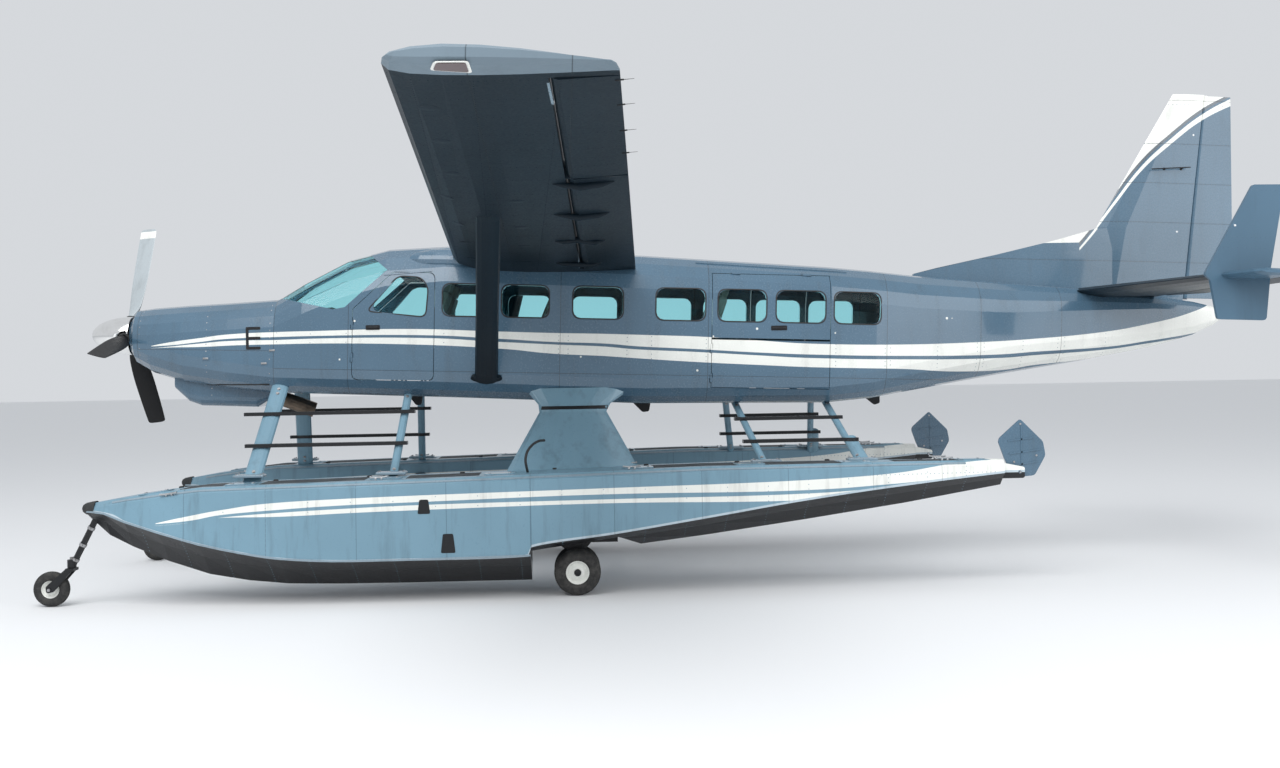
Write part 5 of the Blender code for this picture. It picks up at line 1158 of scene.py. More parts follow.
class CabinOperator(bpy.types.Operator):
    """Seats with cushions, frames and belts, and the dials at the panel"""
    bl_idname = "floatplane.cabin"
    bl_label = "Cabin"

    def execute(self, context):
        frames, belts = Shape(), Shape()
        for row, front in enumerate(SEAT_ROWS):
            for label, side in SIDES:
                y = side * SEAT_Y
                seat, back = Shape(), Shape()
                flat = Matrix.Rotation(math.radians(5.5), 3, "Y")
                cushion(seat, (front + 0.215, y, FLOOR_Z + 0.375), (0.43, SEAT_WIDTH, 0.105), flat)
                lean = Matrix.Rotation(math.radians(-90 + 19), 3, "Y")
                cushion(back, (front + 0.515, y, FLOOR_Z + 0.735), (0.60, SEAT_WIDTH, 0.095), lean)
                head = Vector((front + 0.628, y, FLOOR_Z + 1.075))
                cushion(back, head, (0.13, 0.26, 0.085), lean, 0.010)
                seat = seat.finish("seat_cushion_%s_%d" % (label, row + 1), "leather", "airframe", AIRFRAME, soft=1)
                back = back.finish("seat_back_%s_%d" % (label, row + 1), "leather", "airframe", AIRFRAME, soft=1)
                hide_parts("cabin_seats")
                for x in (front + 0.07, front + 0.38):
                    for across in (-0.18, 0.18):
                        frames.rod((x, y + across, FLOOR_Z), (x - 0.02, y + across, FLOOR_Z + 0.31), 0.013, 12)
                    frames.rod((x - 0.02, y - 0.20, FLOOR_Z + 0.30), (x - 0.02, y + 0.20, FLOOR_Z + 0.30), 0.012, 12)
                frames.block((front + 0.21, y, FLOOR_Z + 0.315), (0.40, SEAT_WIDTH - 0.04, 0.014), 0.005)
                for across in (-0.18, 0.18):
                    frames.block((front + 0.21, y + across, FLOOR_Z + 0.006), (0.60, 0.030, 0.012), 0.003)
                for across in (-1, 1):
                    frames.block((front + 0.30, y + across * (SEAT_WIDTH / 2 + 0.012), FLOOR_Z + 0.56),
                                 (0.28, 0.034, 0.035), 0.012)
                    frames.rod((front + 0.40, y + across * (SEAT_WIDTH / 2 + 0.012), FLOOR_Z + 0.31),
                               (front + 0.40, y + across * (SEAT_WIDTH / 2 + 0.012), FLOOR_Z + 0.55), 0.010, 10)
                belts.block((front + 0.24, y, FLOOR_Z + 0.455), (0.05, SEAT_WIDTH - 0.05, 0.006), 0.002)
                belts.block((front + 0.24, y, FLOOR_Z + 0.462), (0.055, 0.06, 0.012), 0.004)
        frames.finish("seat_frames", "trim_plastic", "airframe", AIRFRAME)
        belts.finish("seat_belts", "black_steel", "airframe", AIRFRAME)

        faces, rims = Shape(), Shape()
        for y, z, size in dial_places():
            rims.turned(((size, 0.0), (size * 1.18, 0.0), (size * 1.18, 0.008), (size, 0.012)),
                        (-1.359, y, z), (1, 0, 0), 28)
            faces.rod((-1.361, y, z), (-1.355, y, z), size, 28)
        for y in (-0.27, 0.27):
            rims.block((-1.358, y, 0.115), (0.010, 0.235, 0.175), 0.004)
            faces.block((-1.352, y, 0.115), (0.006, 0.205, 0.148), 0.002)
        faces.finish("dial_faces", "dial_face", "airframe", AIRFRAME)
        rims.finish("dial_rims", "trim_plastic", "airframe", AIRFRAME)
        return {"FINISHED"}


def dial_places():
    """Where the round dials sit on the panel: y, z, radius."""
    places = []
    for y in (-0.50, -0.42, 0.42, 0.50):
        for z in (0.06, 0.15):
            places.append((y, z, 0.030))
    for z in (-0.01, 0.06, 0.13, 0.20):
        places.append((0.0, z, 0.024))
    return places


def main_rows(skin):
    """Rivet rows round the fuselage shell."""
    lines = []
    for x in (-1.86, -1.50, -1.12, -0.10, 0.44, 1.10, 1.20, 1.82, 2.08, 2.66, 4.05, 4.60, 4.66, 5.20, 5.66, 5.74,
              6.20, 6.62, 6.70, 7.20):
        for side in (-1, 1):
            lines.append([(AIRFRAME @ Vector((x, side * 4.0, z)), Vector((0, -side, 0)))
                          for z in [(-0.56 + 0.03 * k) for k in range(52)]])
    for z in (-0.36, -0.31, 0.20, 0.63):
        for side in (-1, 1):
            lines.append([(AIRFRAME @ Vector((-1.84 + 0.05 * k, side * 4.0, z)), Vector((0, -side, 0)))
                          for k in range(172)])
    return lines


class RivetOperator(bpy.types.Operator):
    """Rivet rows on the fuselage, doors, wings, tail and floats"""
    bl_idname = "floatplane.rivets"
    bl_label = "Rivets"

    def execute(self, context):
        sizes = context.scene.floatplane_fasteners
        jobs = [("fuselage", Skin(*SHELL, *PANES, "wing", "wing_strut_left", "wing_strut_right"), None,
                 "plain_slate")]
        wing_nodes = ("wing", "flap_left", "flap_right", "aileron_left", "aileron_right")
        jobs.append(("wing", Skin(*wing_nodes), wing_rows, "wing_rivet"))
        jobs.append(("float", Skin("float_left", "float_right"), float_rows, "plain_blue"))
        jobs.append(("tail", Skin("vertical_fin", "rudder", "stabilizer", "elevator_left", "elevator_right"),
                     tail_rows, "plain_slate"))
        for label, skin, rows, material in jobs:
            found = rows_on_skin(skin, (rows or main_rows)(skin))
            by_body = {}
            for node, paths in found.items():
                if node not in PANES and "strut" not in node:
                    by_body.setdefault(BODY_OF[node], []).extend(paths)
            for body, paths in by_body.items():
                name = "rivets_%s" % label if body == "airframe" else "rivets_%s_%s" % (label, body)
                finish = "wing_paint" if material == "wing_rivet" else material
                stud_piece(name, paths, finish, body, sizes.pitch, sizes.radius, sizes.height)
        return {"FINISHED"}


def wing_rows(skin):
    """Rivet rows along the ribs and spars, above and below."""
    lines = []
    for up in (-1, 1):
        for side in (-1, 1):
            for y in (1.00, 1.50, 1.95, 2.45, 2.92, 3.42, 3.90, 4.30, 4.70, 5.20, 5.60, 6.10, 6.50, 6.92, 7.30, 7.66):
                lines.append([(AIRFRAME @ Vector((0.02 + 0.045 * k, side * y, up * 6.0)), Vector((0, 0, -up)))
                              for k in range(40)])
            for x in (0.28, 0.62, 1.10):
                lines.append([(AIRFRAME @ Vector((x + 0.02 * k / 10, side * (0.90 + 0.05 * k), up * 6.0)),
                               Vector((0, 0, -up))) for k in range(137)])
    return lines


def float_rows(skin):
    """Rivet rows up the floats' frames, along the decks' edges and along the chines."""
    lines = []
    for middle in (-FLOAT_Y, FLOAT_Y):
        for side in (-1, 1):
            for k in range(21):
                x = -5.30 + 0.40 * k
                lines.append([(Vector((x, middle + side * 1.2, 0.16 + 0.03 * i)), Vector((0, -side, 0)))
                              for i in range(36)])
            lines.append([(Vector((-5.5 + 0.05 * i, middle + side * 1.2, 1.115)), Vector((0, -side, 0)))
                          for i in range(172)])
        for across in (-0.30, 0.30):
            lines.append([(Vector((-4.9 + 0.05 * i, middle + across, 3.0)), Vector((0, 0, -1))) for i in range(130)])
    return lines


def tail_rows(skin):
    """Rivet rows on the fin, rudder and tailplane."""
    lines = []
    for side in (-1, 1):
        for z in (0.95, 1.05, 1.50, 1.95, 2.40, 2.85):
            lines.append([(AIRFRAME @ Vector((6.6 + 0.045 * k, side * 3.0, z)), Vector((0, -side, 0)))
                          for k in range(52)])
        for y in (0.60, 1.20, 1.80, 2.40, 2.90):
            for up in (-1, 1):
                lines.append([(AIRFRAME @ Vector((6.9 + 0.045 * k, side * y, up * 6.0)), Vector((0, 0, -up)))
                              for k in range(32)])
    return lines


WORLD = Matrix.Identity(4)


def spot(skin, x, z, side, sink=0.001):
    """The CAD node and the place on its skin at a world x and z: Z points out and X aft."""
    node, point, normal = skin.side(x, z, side, WORLD)
    return node, frame_at(point - normal * sink, normal)


def spot_below(skin, x, y, up, sink=0.001):
    """As spot, seen from above (1) or below (-1)."""
    node, point, normal = skin.vertical(x, y, up, WORLD)
    return node, frame_at(point - normal * sink, normal)


def cap(shape, place, radius, height, steps=20):
    """A low domed disc on a place."""
    profile = ((0, 0), (radius, 0), (radius, height * 0.45), (radius * 0.82, height * 0.9), (0, height))
    return shape.turned(profile, place.translation, place.col[2].to_3d(), steps)


def side_path(skin, start, end, side, step=0.04, nodes=None):
    """Points and normals along a world line of x and z, seen from one side."""
    path = []
    for point in stepped((start[0], 0, start[1]), (end[0], 0, end[1]), step):
        hit = skin.side(point.x, point.z, side, WORLD)
        if hit and (nodes is None or hit[0] in nodes):
            path.append((hit[1], hit[2]))
    return path


def flat_path(skin, start, end, up, step=0.04, nodes=None):
    """Points and normals along a world line of x and y, seen from above or below."""
    path = []
    for point in stepped((start[0], start[1], 0), (end[0], end[1], 0), step):
        hit = skin.vertical(point.x, point.y, up, WORLD)
        if hit and (nodes is None or hit[0] in nodes):
            path.append((hit[1], hit[2]))
    return path


def ribbon(shape, path, width, height, sink=0.002):
    """A low strip along a path on the skin."""
    rings = []
    for k, (point, normal) in enumerate(path):
        ahead = (path[min(k + 1, len(path) - 1)][0] - path[max(k - 1, 0)][0]).normalized()
        edge = normal.cross(ahead).normalized() * width / 2
        rings.append([point - edge - normal * sink, point + edge - normal * sink,
                      point + edge * 0.8 + normal * height, point - edge * 0.8 + normal * height])
    return shape.loft(rings)


def bar_handle(shape, place, length, width=0.030):
    """A dark backing plate with a pull bar on it."""
    shape.plate(rectangle(length * 1.15, width * 1.7, 0.012), 0.003, place)
    axes = place.to_3x3()
    shape.block(place @ Vector((0, 0, 0.016)), (length, width * 0.62, 0.009), 0.003, axes)
    for along in (-0.38, 0.38):
        shape.block(place @ Vector((length * along, 0, 0.008)), (0.016, width * 0.5, 0.014), 0.002, axes)
    return shape


def slat_piece(name, place, count, spacing, slat, tilt, material, body):
    """A row of slats from the geometry tree, laid on a place."""
    mesh = run_tree("slat_row", bpy.data.meshes.new("empty"), {
        "Count": count, "Spacing": spacing, "Slat": slat, "Tilt": tilt, "Material": finish_of(material)})
    mesh.transform(place)
    return new_piece(name, mesh, material, body)


class FuselageTrimOperator(bpy.types.Operator):
    """Door handles, locks, hinge and drip strips, static ports and small fasteners"""
    bl_idname = "floatplane.fuselage_trim"
    bl_label = "Fuselage trim"

    def execute(self, context):
        skin = Skin(*SHELL, *PANES)
        for label, side in SIDES:
            grips = {}
            places = [(-3.245, 2.688, 0.130), (1.031, 2.616, 0.150)] if side < 0 else \
                [(-3.245, 2.688, 0.130), (1.290, 2.616, 0.150)]
            for x, z, length in places:
                node, place = spot(skin, x, z, side)
                bar_handle(grips.setdefault(BODY_OF[node], Shape()), place, length)
            for body, shape in grips.items():
                shape.finish("handle_%s" % (body if label in body else body + "_" + label), "black_steel", body)
            pale = {}
            spots = [(-3.435, 2.760, 0.011), (0.795, 2.611, 0.013), (0.327, 2.538, 0.009), (1.635, 2.553, 0.009),
                     (-1.080, 2.345, 0.010), (0.150, 2.180, 0.012), (-3.60, 2.360, 0.010), (2.900, 2.700, 0.014),
                     (2.960, 2.700, 0.006)]
            for x, z, radius in spots:
                node, place = spot(skin, x, z, side)
                cap(pale.setdefault(BODY_OF[node], Shape()), place, radius, 0.004)
            for body, shape in pale.items():
                shape.finish("small_caps_%s_%s" % (body, label), "white_paint", body)
        strips = Shape()
        ribbon(strips, side_path(skin, (0.172, 3.333), (1.807, 3.212), -1, 0.05, ("fuselage",)), 0.022, 0.010)
        for side in (-1, 1):
            rain = side_path(skin, (-3.42, 3.215), (-2.62, 3.270), side, 0.05, ("fuselage",))
            if len(rain) > 3:
                ribbon(strips, rain, 0.012, 0.008)
        ribbon(strips, side_path(skin, (1.000, 3.270), (1.640, 3.225), 1, 0.05, ("fuselage",)), 0.022, 0.010)
        strips.finish("hinge_and_rain_strips", "plain_slate", "airframe")
        belly = Shape()
        for x, length in ((-2.9, 0.16), (-0.4, 0.20), (2.2, 0.18)):
            node, place = spot_below(Skin("fuselage"), x, 0.0, -1)
            blade = [(-length / 2, 0.0), (length / 2, 0.0), (length * 0.42, 0.10), (length * 0.05, 0.11)]
            upright = place @ Matrix.Rotation(math.radians(90), 4, "X")
            upright.translation = upright.translation - upright.col[2].to_3d() * 0.006
            belly.plate(rounded(blade, 0.02, 3), 0.012, upright)
        belly.finish("belly_aerials", "black_steel", "airframe")
        return {"FINISHED"}


class CowlOperator(bpy.types.Operator):
    """Latches, louvre slats over painted shade, scoop lip round a painted-shade mouth, and fasteners of the cowl"""
    bl_idname = "floatplane.cowl"
    bl_label = "Cowl"

    def execute(self, context):
        skin = Skin("engine_cowl", "fuselage", "engine_block")
        latches, plates, dark = Shape(), Shape(), Shape()
        for label, side in SIDES:
            for x, z in ((-5.034, 2.399), (-4.407, 2.335), (-4.318, 2.470)):
                _, place = spot(skin, x, z, side)
                plates.plate(rectangle(0.085, 0.040, 0.010), 0.003, place)
                latches.block(place @ Vector((0, 0, 0.006)), (0.060, 0.018, 0.008), 0.003, place.to_3x3())
                latches.rod(place @ Vector((-0.028, -0.010, 0.006)), place @ Vector((-0.028, 0.010, 0.006)), 0.005, 10)
            # Black plates in an E under the slats: painted shade, standing for the dark inside of the louvre's
            # openings.
            for z in (2.706, 2.602, 2.497):
                _, place = spot(skin, -4.515, z, side)
                dark.plate(rectangle(0.150, 0.030, 0.012), 0.0025, place)
            _, place = spot(skin, -4.582, 2.602, side)
            dark.plate(rectangle(0.030, 0.238, 0.012), 0.0027, place)
            for row, z in enumerate((2.706, 2.602, 2.497)):
                _, place = spot(skin, -4.575, z, side, -0.002)
                slat_piece("cowl_slats_%s_%d" % (label, row + 1), place, 6, 0.024, (0.016, 0.022, 0.002), 0.45,
                           "black_steel", "airframe")
            ribbon(dark, side_path(skin, (-5.080, 2.122), (-4.370, 2.112), side, 0.04), 0.024, 0.003)
            _, place = spot(skin, -5.281, 2.060, side)
            plates.plate(rounded(((-0.045, -0.02), (0.045, -0.02), (0.0, 0.035)), 0.008, 3), 0.003, place)
        latches.finish("cowl_latches", "fastener_metal", "airframe", angle=30)
        plates.finish("cowl_latch_plates", "plain_slate", "airframe")
        dark.finish("cowl_louvre_shade_plates", "black_steel", "airframe")
        mouth_shades, lips = Shape(), Shape()
        _, point, normal = skin.hit(AIRFRAME @ Vector((-5.0, 0, -0.632)), AIRFRAME.to_3x3() @ Vector((1, 0, 0)))
        place = frame_at(point - normal * 0.004, normal, (0, 1, 0))
        outline = rectangle(0.36, 0.090, 0.044, 7)
        # A near-black plate across the scoop's mouth: painted shade for the dark inside of the intake.
        mouth_shades.plate(outline, 0.007, place)
        rings = []
        for u, v in outline:
            out = Vector((u, v, 0)).normalized()
            rings.append([place @ (Vector((u, v, 0.004)) + out * math.cos(a) * 0.008
                                   + Vector((0, 0, 1)) * math.sin(a) * 0.010)
                          for a in (2 * math.pi * i / 8 for i in range(8))])
        lips.loft(rings, closed=True)
        mouth_shades.finish("scoop_mouth_shade", "blade_back", "airframe")
        lips.finish("scoop_lip", "plain_slate", "airframe")
        lines = []
        for x in (-3.378, -2.62, -1.935):
            lines.append([(AIRFRAME @ Vector((x, math.cos(a) * 2.0, -0.05 + math.sin(a) * 2.0)),
                           AIRFRAME.to_3x3() @ Vector((0, -math.cos(a), -math.sin(a))))
                          for a in (2 * math.pi * k / 72 for k in range(73))])
        found = rows_on_skin(Skin("engine_cowl"), lines, 0.08)
        stud_piece("cowl_screws", found.get("engine_cowl", []), "fastener_metal", "airframe", 0.075, 0.0065, 0.0016,
                   sides=8)
        return {"FINISHED"}


class WingOperator(bpy.types.Operator):
    """Lamps, access covers, flap brackets, aileron strips and static wicks"""
    bl_idname = "floatplane.wing_trim"
    bl_label = "Wing trim"

    def execute(self, context):
        sizes = context.scene.floatplane_fasteners
        skin = Skin("wing", "flap_left", "flap_right", "aileron_left", "aileron_right")
        covers, brackets = Shape(), Shape()
        for label, side in SIDES:
            lens, rim = Shape(), Shape()
            _, place = spot_below(skin, -1.830, side * 7.870, -1)
            outline = rounded(((-0.095, -0.030), (0.095, -0.055), (0.085, 0.055), (-0.070, 0.050)), 0.02, 4)
            rim.plate([(x * 1.18, y * 1.25) for x, y in outline], 0.003, place)
            lens.plate(outline, 0.007, place)
            lens.finish("tip_lamp_" + label, "red_lens" if side < 0 else "green_lens", "airframe")
            rim.finish("tip_lamp_rim_" + label, "white_paint", "airframe")
            for y in (1.45, 2.40, 3.35, 4.45, 5.35, 6.30, 7.10):
                for x in (-2.15, -1.60) if y < 5.2 else (-2.02,):
                    _, place = spot_below(skin, x, side * y, -1)
                    cap(covers, place, 0.062, 0.003, 28)
            for y in (1.40, 2.65, 3.90, 5.05):
                _, start = spot_below(skin, -1.15, side * y, -1)
                rings = []
                for share, half, deep in ((0.0, 0.006, 0.004), (0.15, 0.020, 0.030), (0.45, 0.024, 0.052),
                                          (0.80, 0.018, 0.040), (1.0, 0.005, 0.006)):
                    x = -1.32 + 0.46 * share
                    hit = skin.vertical(x, side * y, -1, WORLD)
                    centre = hit[1] if hit else start.translation
                    rings.append([centre + Vector((0, half * math.cos(a), -0.5 * deep + 0.5 * deep * math.sin(a)
                                                   + (0.01 if math.sin(a) > 0 else 0)))
                                  for a in (2 * math.pi * k / 16 for k in range(16))])
                brackets.loft(rings)
            strip = Shape()
            for node, start, end in (("wing", (-1.318, 7.60), (-1.205, 5.30)), ("wing", (-1.150, 5.15), (-1.085, 1.05))):
                path = flat_path(skin, (start[0], side * start[1]), (end[0], side * end[1]), -1, 0.06, (node,))
                if len(path) > 3:
                    ribbon(strip, path, 0.018, 0.002)
            strip.finish("gap_strips_" + label, "strut_paint", "airframe")
            paths = []
            aft = AIRFRAME.to_3x3() @ Vector((0.97, 0, 0.12))
            for y in (5.9, 6.5, 7.1, 7.6):
                found = trailing_edge(skin, side * y)
                if found:
                    paths.append((found, aft))
            place_wicks("wing_wicks_" + label, paths, sizes.wick, "aileron_" + label)
        covers.finish("wing_access_covers", "wing_paint", "airframe")
        brackets.finish("flap_fairings", "wing_paint", "airframe")
        cuffs = Shape()
        for _, side in SIDES:
            for share, lift in ((0.0, 0.055), (1.0, -0.055)):
                foot, head = Vector((0.345, side * 0.74, -0.44)), Vector((0.520, side * 3.90, 1.02))
                axis = (head - foot).normalized()
                base = foot.lerp(head, share)
                start, chord = base + axis * lift * 0.2, 0.30 if share == 0 else 0.26
                rings = []
                for step, grow in ((0.0, 1.35), (0.35, 1.14), (1.0, 1.03)):
                    centre = start + axis * lift * 2.6 * step
                    across = axis.cross(Vector((1, 0, 0))).normalized()
                    rings.append([centre + Vector((1, 0, 0)) * math.cos(a) * chord * 0.5 * grow
                                  + across * math.sin(a) * chord * 0.105 * grow
                                  for a in (2 * math.pi * k / 28 for k in range(28))])
                cuffs.loft(rings)
        cuffs.finish("strut_cuffs", "wing_paint", "airframe", AIRFRAME)
        return {"FINISHED"}


def trailing_edge(skin, y):
    """The hindmost point of a wing at a span position, or None."""
    for k in range(60):
        x = -0.40 - 0.01 * k
        hit = skin.vertical(x, y, -1, WORLD)
        if hit:
            return hit[1]
    return None


def place_wicks(name, places, length, body):
    """Thin rods that trail from an edge; places are (point, direction)."""
    shape = Shape()
    for point, aft in places:
        shape.rod(point - aft * 0.02, point + aft * length, 0.0025, 8, 0.001)
        shape.rod(point - aft * 0.03, point + aft * 0.02, 0.005, 8)
    return shape.finish(name, "blade_back", body)


class TailOperator(bpy.types.Operator):
    """Side aerials, trim tab lines and static wicks"""
    bl_idname = "floatplane.tail_trim"
    bl_label = "Tail trim"

    def execute(self, context):
        skin = Skin("vertical_fin", "rudder", "stabilizer", "elevator_left", "elevator_right")
        aerials, caps = Shape(), Shape()
        for label, side in SIDES:
            _, front = spot(skin, 5.60, 4.385, side)
            _, rear = spot(skin, 5.80, 4.385, side)
            stand = Vector((0, side * 0.050, 0))
            for place in (front, rear):
                aerials.rod(place.translation, place.translation + stand, 0.007, 10)
                cap(aerials, place, 0.016, 0.005, 14)
            y = front.translation.y + side * 0.050
            aerials.tube([(5.435 + 0.045 * k, y, 4.379 + 0.0015 * k) for k in range(11)], 0.0065, 10)
            for x, z in ((5.738, 3.669), (5.957, 4.770), (5.100, 3.45)):
                _, place = spot(skin, x, z, side)
                cap(caps, place, 0.012, 0.004)
        aerials.finish("fin_aerials", "black_steel", "airframe")
        caps.finish("fin_caps", "aluminium", "airframe")
        tail = AIRFRAME.to_3x3() @ Vector((0.97, 0, 0.10))
        for label, side in SIDES:
            paths = []
            for y in (1.2, 2.0, 2.8):
                point = AIRFRAME @ Vector((8.300, side * y, 0.69))
                paths.append((point, tail))
            place_wicks("elevator_wicks_" + label, paths, 0.08, "elevator")
            tabs = Shape()
            for up in (-1, 1):
                path = flat_path(skin, (5.760, side * 0.80), (5.760, side * 2.00), up, 0.06,
                                 ("elevator_left", "elevator_right"))
                if len(path) > 3:
                    ribbon(tabs, path, 0.010, 0.0015)
            if len(tabs.bm.verts):
                tabs.finish("trim_tab_hinge_" + label, "black_steel", "elevator")
        return {"FINISHED"}


class FloatOperator(bpy.types.Operator):
    """Deck walkways, hatches, cleats, rub strips, painted shade at the steps, bumpers and pump caps"""
    bl_idname = "floatplane.float_trim"
    bl_label = "Float trim"

    def execute(self, context):
        skin = Skin("float_left", "float_right")
        walk, hatches, metal, rubber, rails, dark = Shape(), Shape(), Shape(), Shape(), Shape(), Shape()
        for label, side in SIDES:
            y = side * FLOAT_Y
            for start, end, across, width in ((-4.95, -4.55, 0.0, 0.46), (-4.20, -3.20, 0.0, 0.50),
                                              (-2.80, -2.10, 0.0, 0.50), (-0.40, 1.45, 0.0, 0.46),
                                              (2.00, 2.70, 0.0, 0.26)):
                path = flat_path(skin, (start, y + across), (end, y + across), 1, 0.10)
                ribbon(walk, path, width, 0.003)
            for x in (-5.20, -4.38, -3.00, -1.90, -0.55, 0.55, 1.60, 2.78):
                _, place = spot_below(skin, x, y + side * 0.10 * (1 if x < 2 else 0), 1)
                hatches.plate(rectangle(0.30, 0.24 if x < 2 else 0.16, 0.05), 0.010, place)
                for across in (-0.10, 0.10):
                    metal.block(place @ Vector((across, 0.0, 0.013)), (0.020, 0.050, 0.008), 0.002, place.to_3x3())
            for k in range(9):
                x = -5.05 + 0.92 * k
                _, place = spot_below(skin, x, y - side * (0.22 if x < 1.8 else 0.10), 1)
                cap(rubber, place, 0.026, 0.018, 18)
            for x in (-5.02, -3.05, -0.62, 2.50):
                for inner in (-1, 1):
                    _, place = spot_below(skin, x, y + inner * (0.30 if x < 2 else 0.13), 1)
                    cleat(metal, place)
            for inner in (-1, 1):
                edge = deck_edge(skin, y, inner)
                ribbon(rails, edge, 0.026, 0.007)
                chine = [(x, z + 0.012) for x, z in CHINE if x < -1.605]
                path = []
                for (x0, z0), (x1, z1) in zip(chine, chine[1:]):
                    path += side_path_at(skin, (x0, z0), (x1, z1), inner, y)
                ribbon(rails, thin(path), 0.020, 0.006)
                # Dark trapezoid plates on the hull sides: painted shade, standing for the shade inside the recessed
                # boarding steps.
                for (x0, z0, x1, z1) in ((-2.670, 0.855, -2.550, 0.990), (-2.455, 0.480, -2.317, 0.661)):
                    hit = skin.side((x0 + x1) / 2, (z0 + z1) / 2, inner, WORLD, 1.2, y)
                    place = frame_at(hit[1] - hit[2] * 0.001, hit[2])
                    wide, high = (x1 - x0) / 2, (z1 - z0) / 2
                    dark.plate(rounded(((-wide, -high), (wide, -high), (wide * 0.7, high), (-wide * 0.7, high)),
                                       0.015, 3), 0.004, place)
            hit = skin.hit(Vector((-8.0, y, 0.945)), Vector((1, 0, 0)))
            nose = hit[1].x
            rings = []
            for dx, half, low, high in ((-0.006, 0.030, 0.922, 0.962), (0.004, 0.052, 0.902, 0.980),
                                        (0.030, 0.072, 0.884, 0.996), (0.085, 0.088, 0.868, 1.008),
                                        (0.125, 0.098, 0.858, 1.014)):
                centre = Vector((nose + dx, y, (low + high) / 2))
                rings.append([centre + Vector((0, half * math.cos(a), (high - low) / 2 * math.sin(a)))
                              for a in (2 * math.pi * k / 24 for k in range(24))])
            rubber.loft(rings)
            hose = [(-1.628, y + side * 0.06, 1.190), (-1.640, y + side * 0.10, 1.250), (-1.650, y + side * 0.10, 1.330),
                    (-1.630, y + side * 0.06, 1.410), (-1.580, y - side * 0.02, 1.470), (-1.520, y - side * 0.12, 1.500),
                    (-1.470, y - side * 0.235, 1.500)]
            rubber.tube(smooth_path(hose, 6), 0.013, 12)
        walk.finish("float_walkways", "walkway", "airframe")
        hatches.finish("float_hatches", "plain_blue", "airframe")
        metal.finish("float_cleats", "aluminium", "airframe")
        rubber.finish("float_bumpers", "seal_rubber", "airframe")
        rails.finish("float_rub_strips", "strut_paint", "airframe")
        dark.finish("float_step_shade_plates", "black_steel", "airframe")
        return {"FINISHED"}


def side_path_at(skin, start, end, way, middle):
    """Points and normals along a world line on one side of one float."""
    path = []
    for point in stepped((start[0], 0, start[1]), (end[0], 0, end[1]), 0.08):
        hit = skin.side(point.x, point.z, way, WORLD, 1.2, middle)
        if hit:
            path.append((hit[1], hit[2]))
    return path


def thin(path):
    """A path without points that lie on each other."""
    kept = path[:1]
    for point, normal in path[1:]:
        if (point - kept[-1][0]).length > 0.02:
            kept.append((point, normal))
    return kept


def deck_edge(skin, middle, way):
    """Points and normals along one edge of a float's deck, a little below its corner."""
    path = []
    for k in range(84):
        x = -5.60 + 0.10 * k
        top = skin.vertical(x, middle, 1, WORLD)
        if top is None:
            continue
        hit = skin.side(x, top[1].z - 0.028, way, WORLD, 1.2, middle)
        if hit:
            path.append((hit[1], hit[2]))
    return path


def smooth_path(points, steps):
    """A Catmull-Rom curve through points."""
    return [Vector(point) for point in smooth_stations([tuple(point) for point in points], steps)]


def cleat(shape, place):
    """A mooring cleat: two feet and a horned bar."""
    axes = place.to_3x3()
    for along in (-0.028, 0.028):
        shape.block(place @ Vector((along, 0, 0.012)), (0.018, 0.022, 0.026), 0.004, axes)
    shape.tube([place @ Vector((x, 0, z)) for x, z in ((-0.085, 0.034), (-0.060, 0.029), (-0.030, 0.027),
                                                        (0.0, 0.027), (0.030, 0.027), (0.060, 0.029),
                                                        (0.085, 0.034))], 0.009, 10)


FRONT_STRUTS = (((-2.014, 1.45, 1.10), (-1.866, 0.52, 2.16)), ((-0.616, 1.45, 1.10), (-0.520, 0.52, 2.10)))
REAR_STRUTS = (((3.150, 1.45, 1.18), (2.950, 0.30, 1.90)), ((4.131, 1.45, 1.18), (3.940, 0.30, 1.90)))


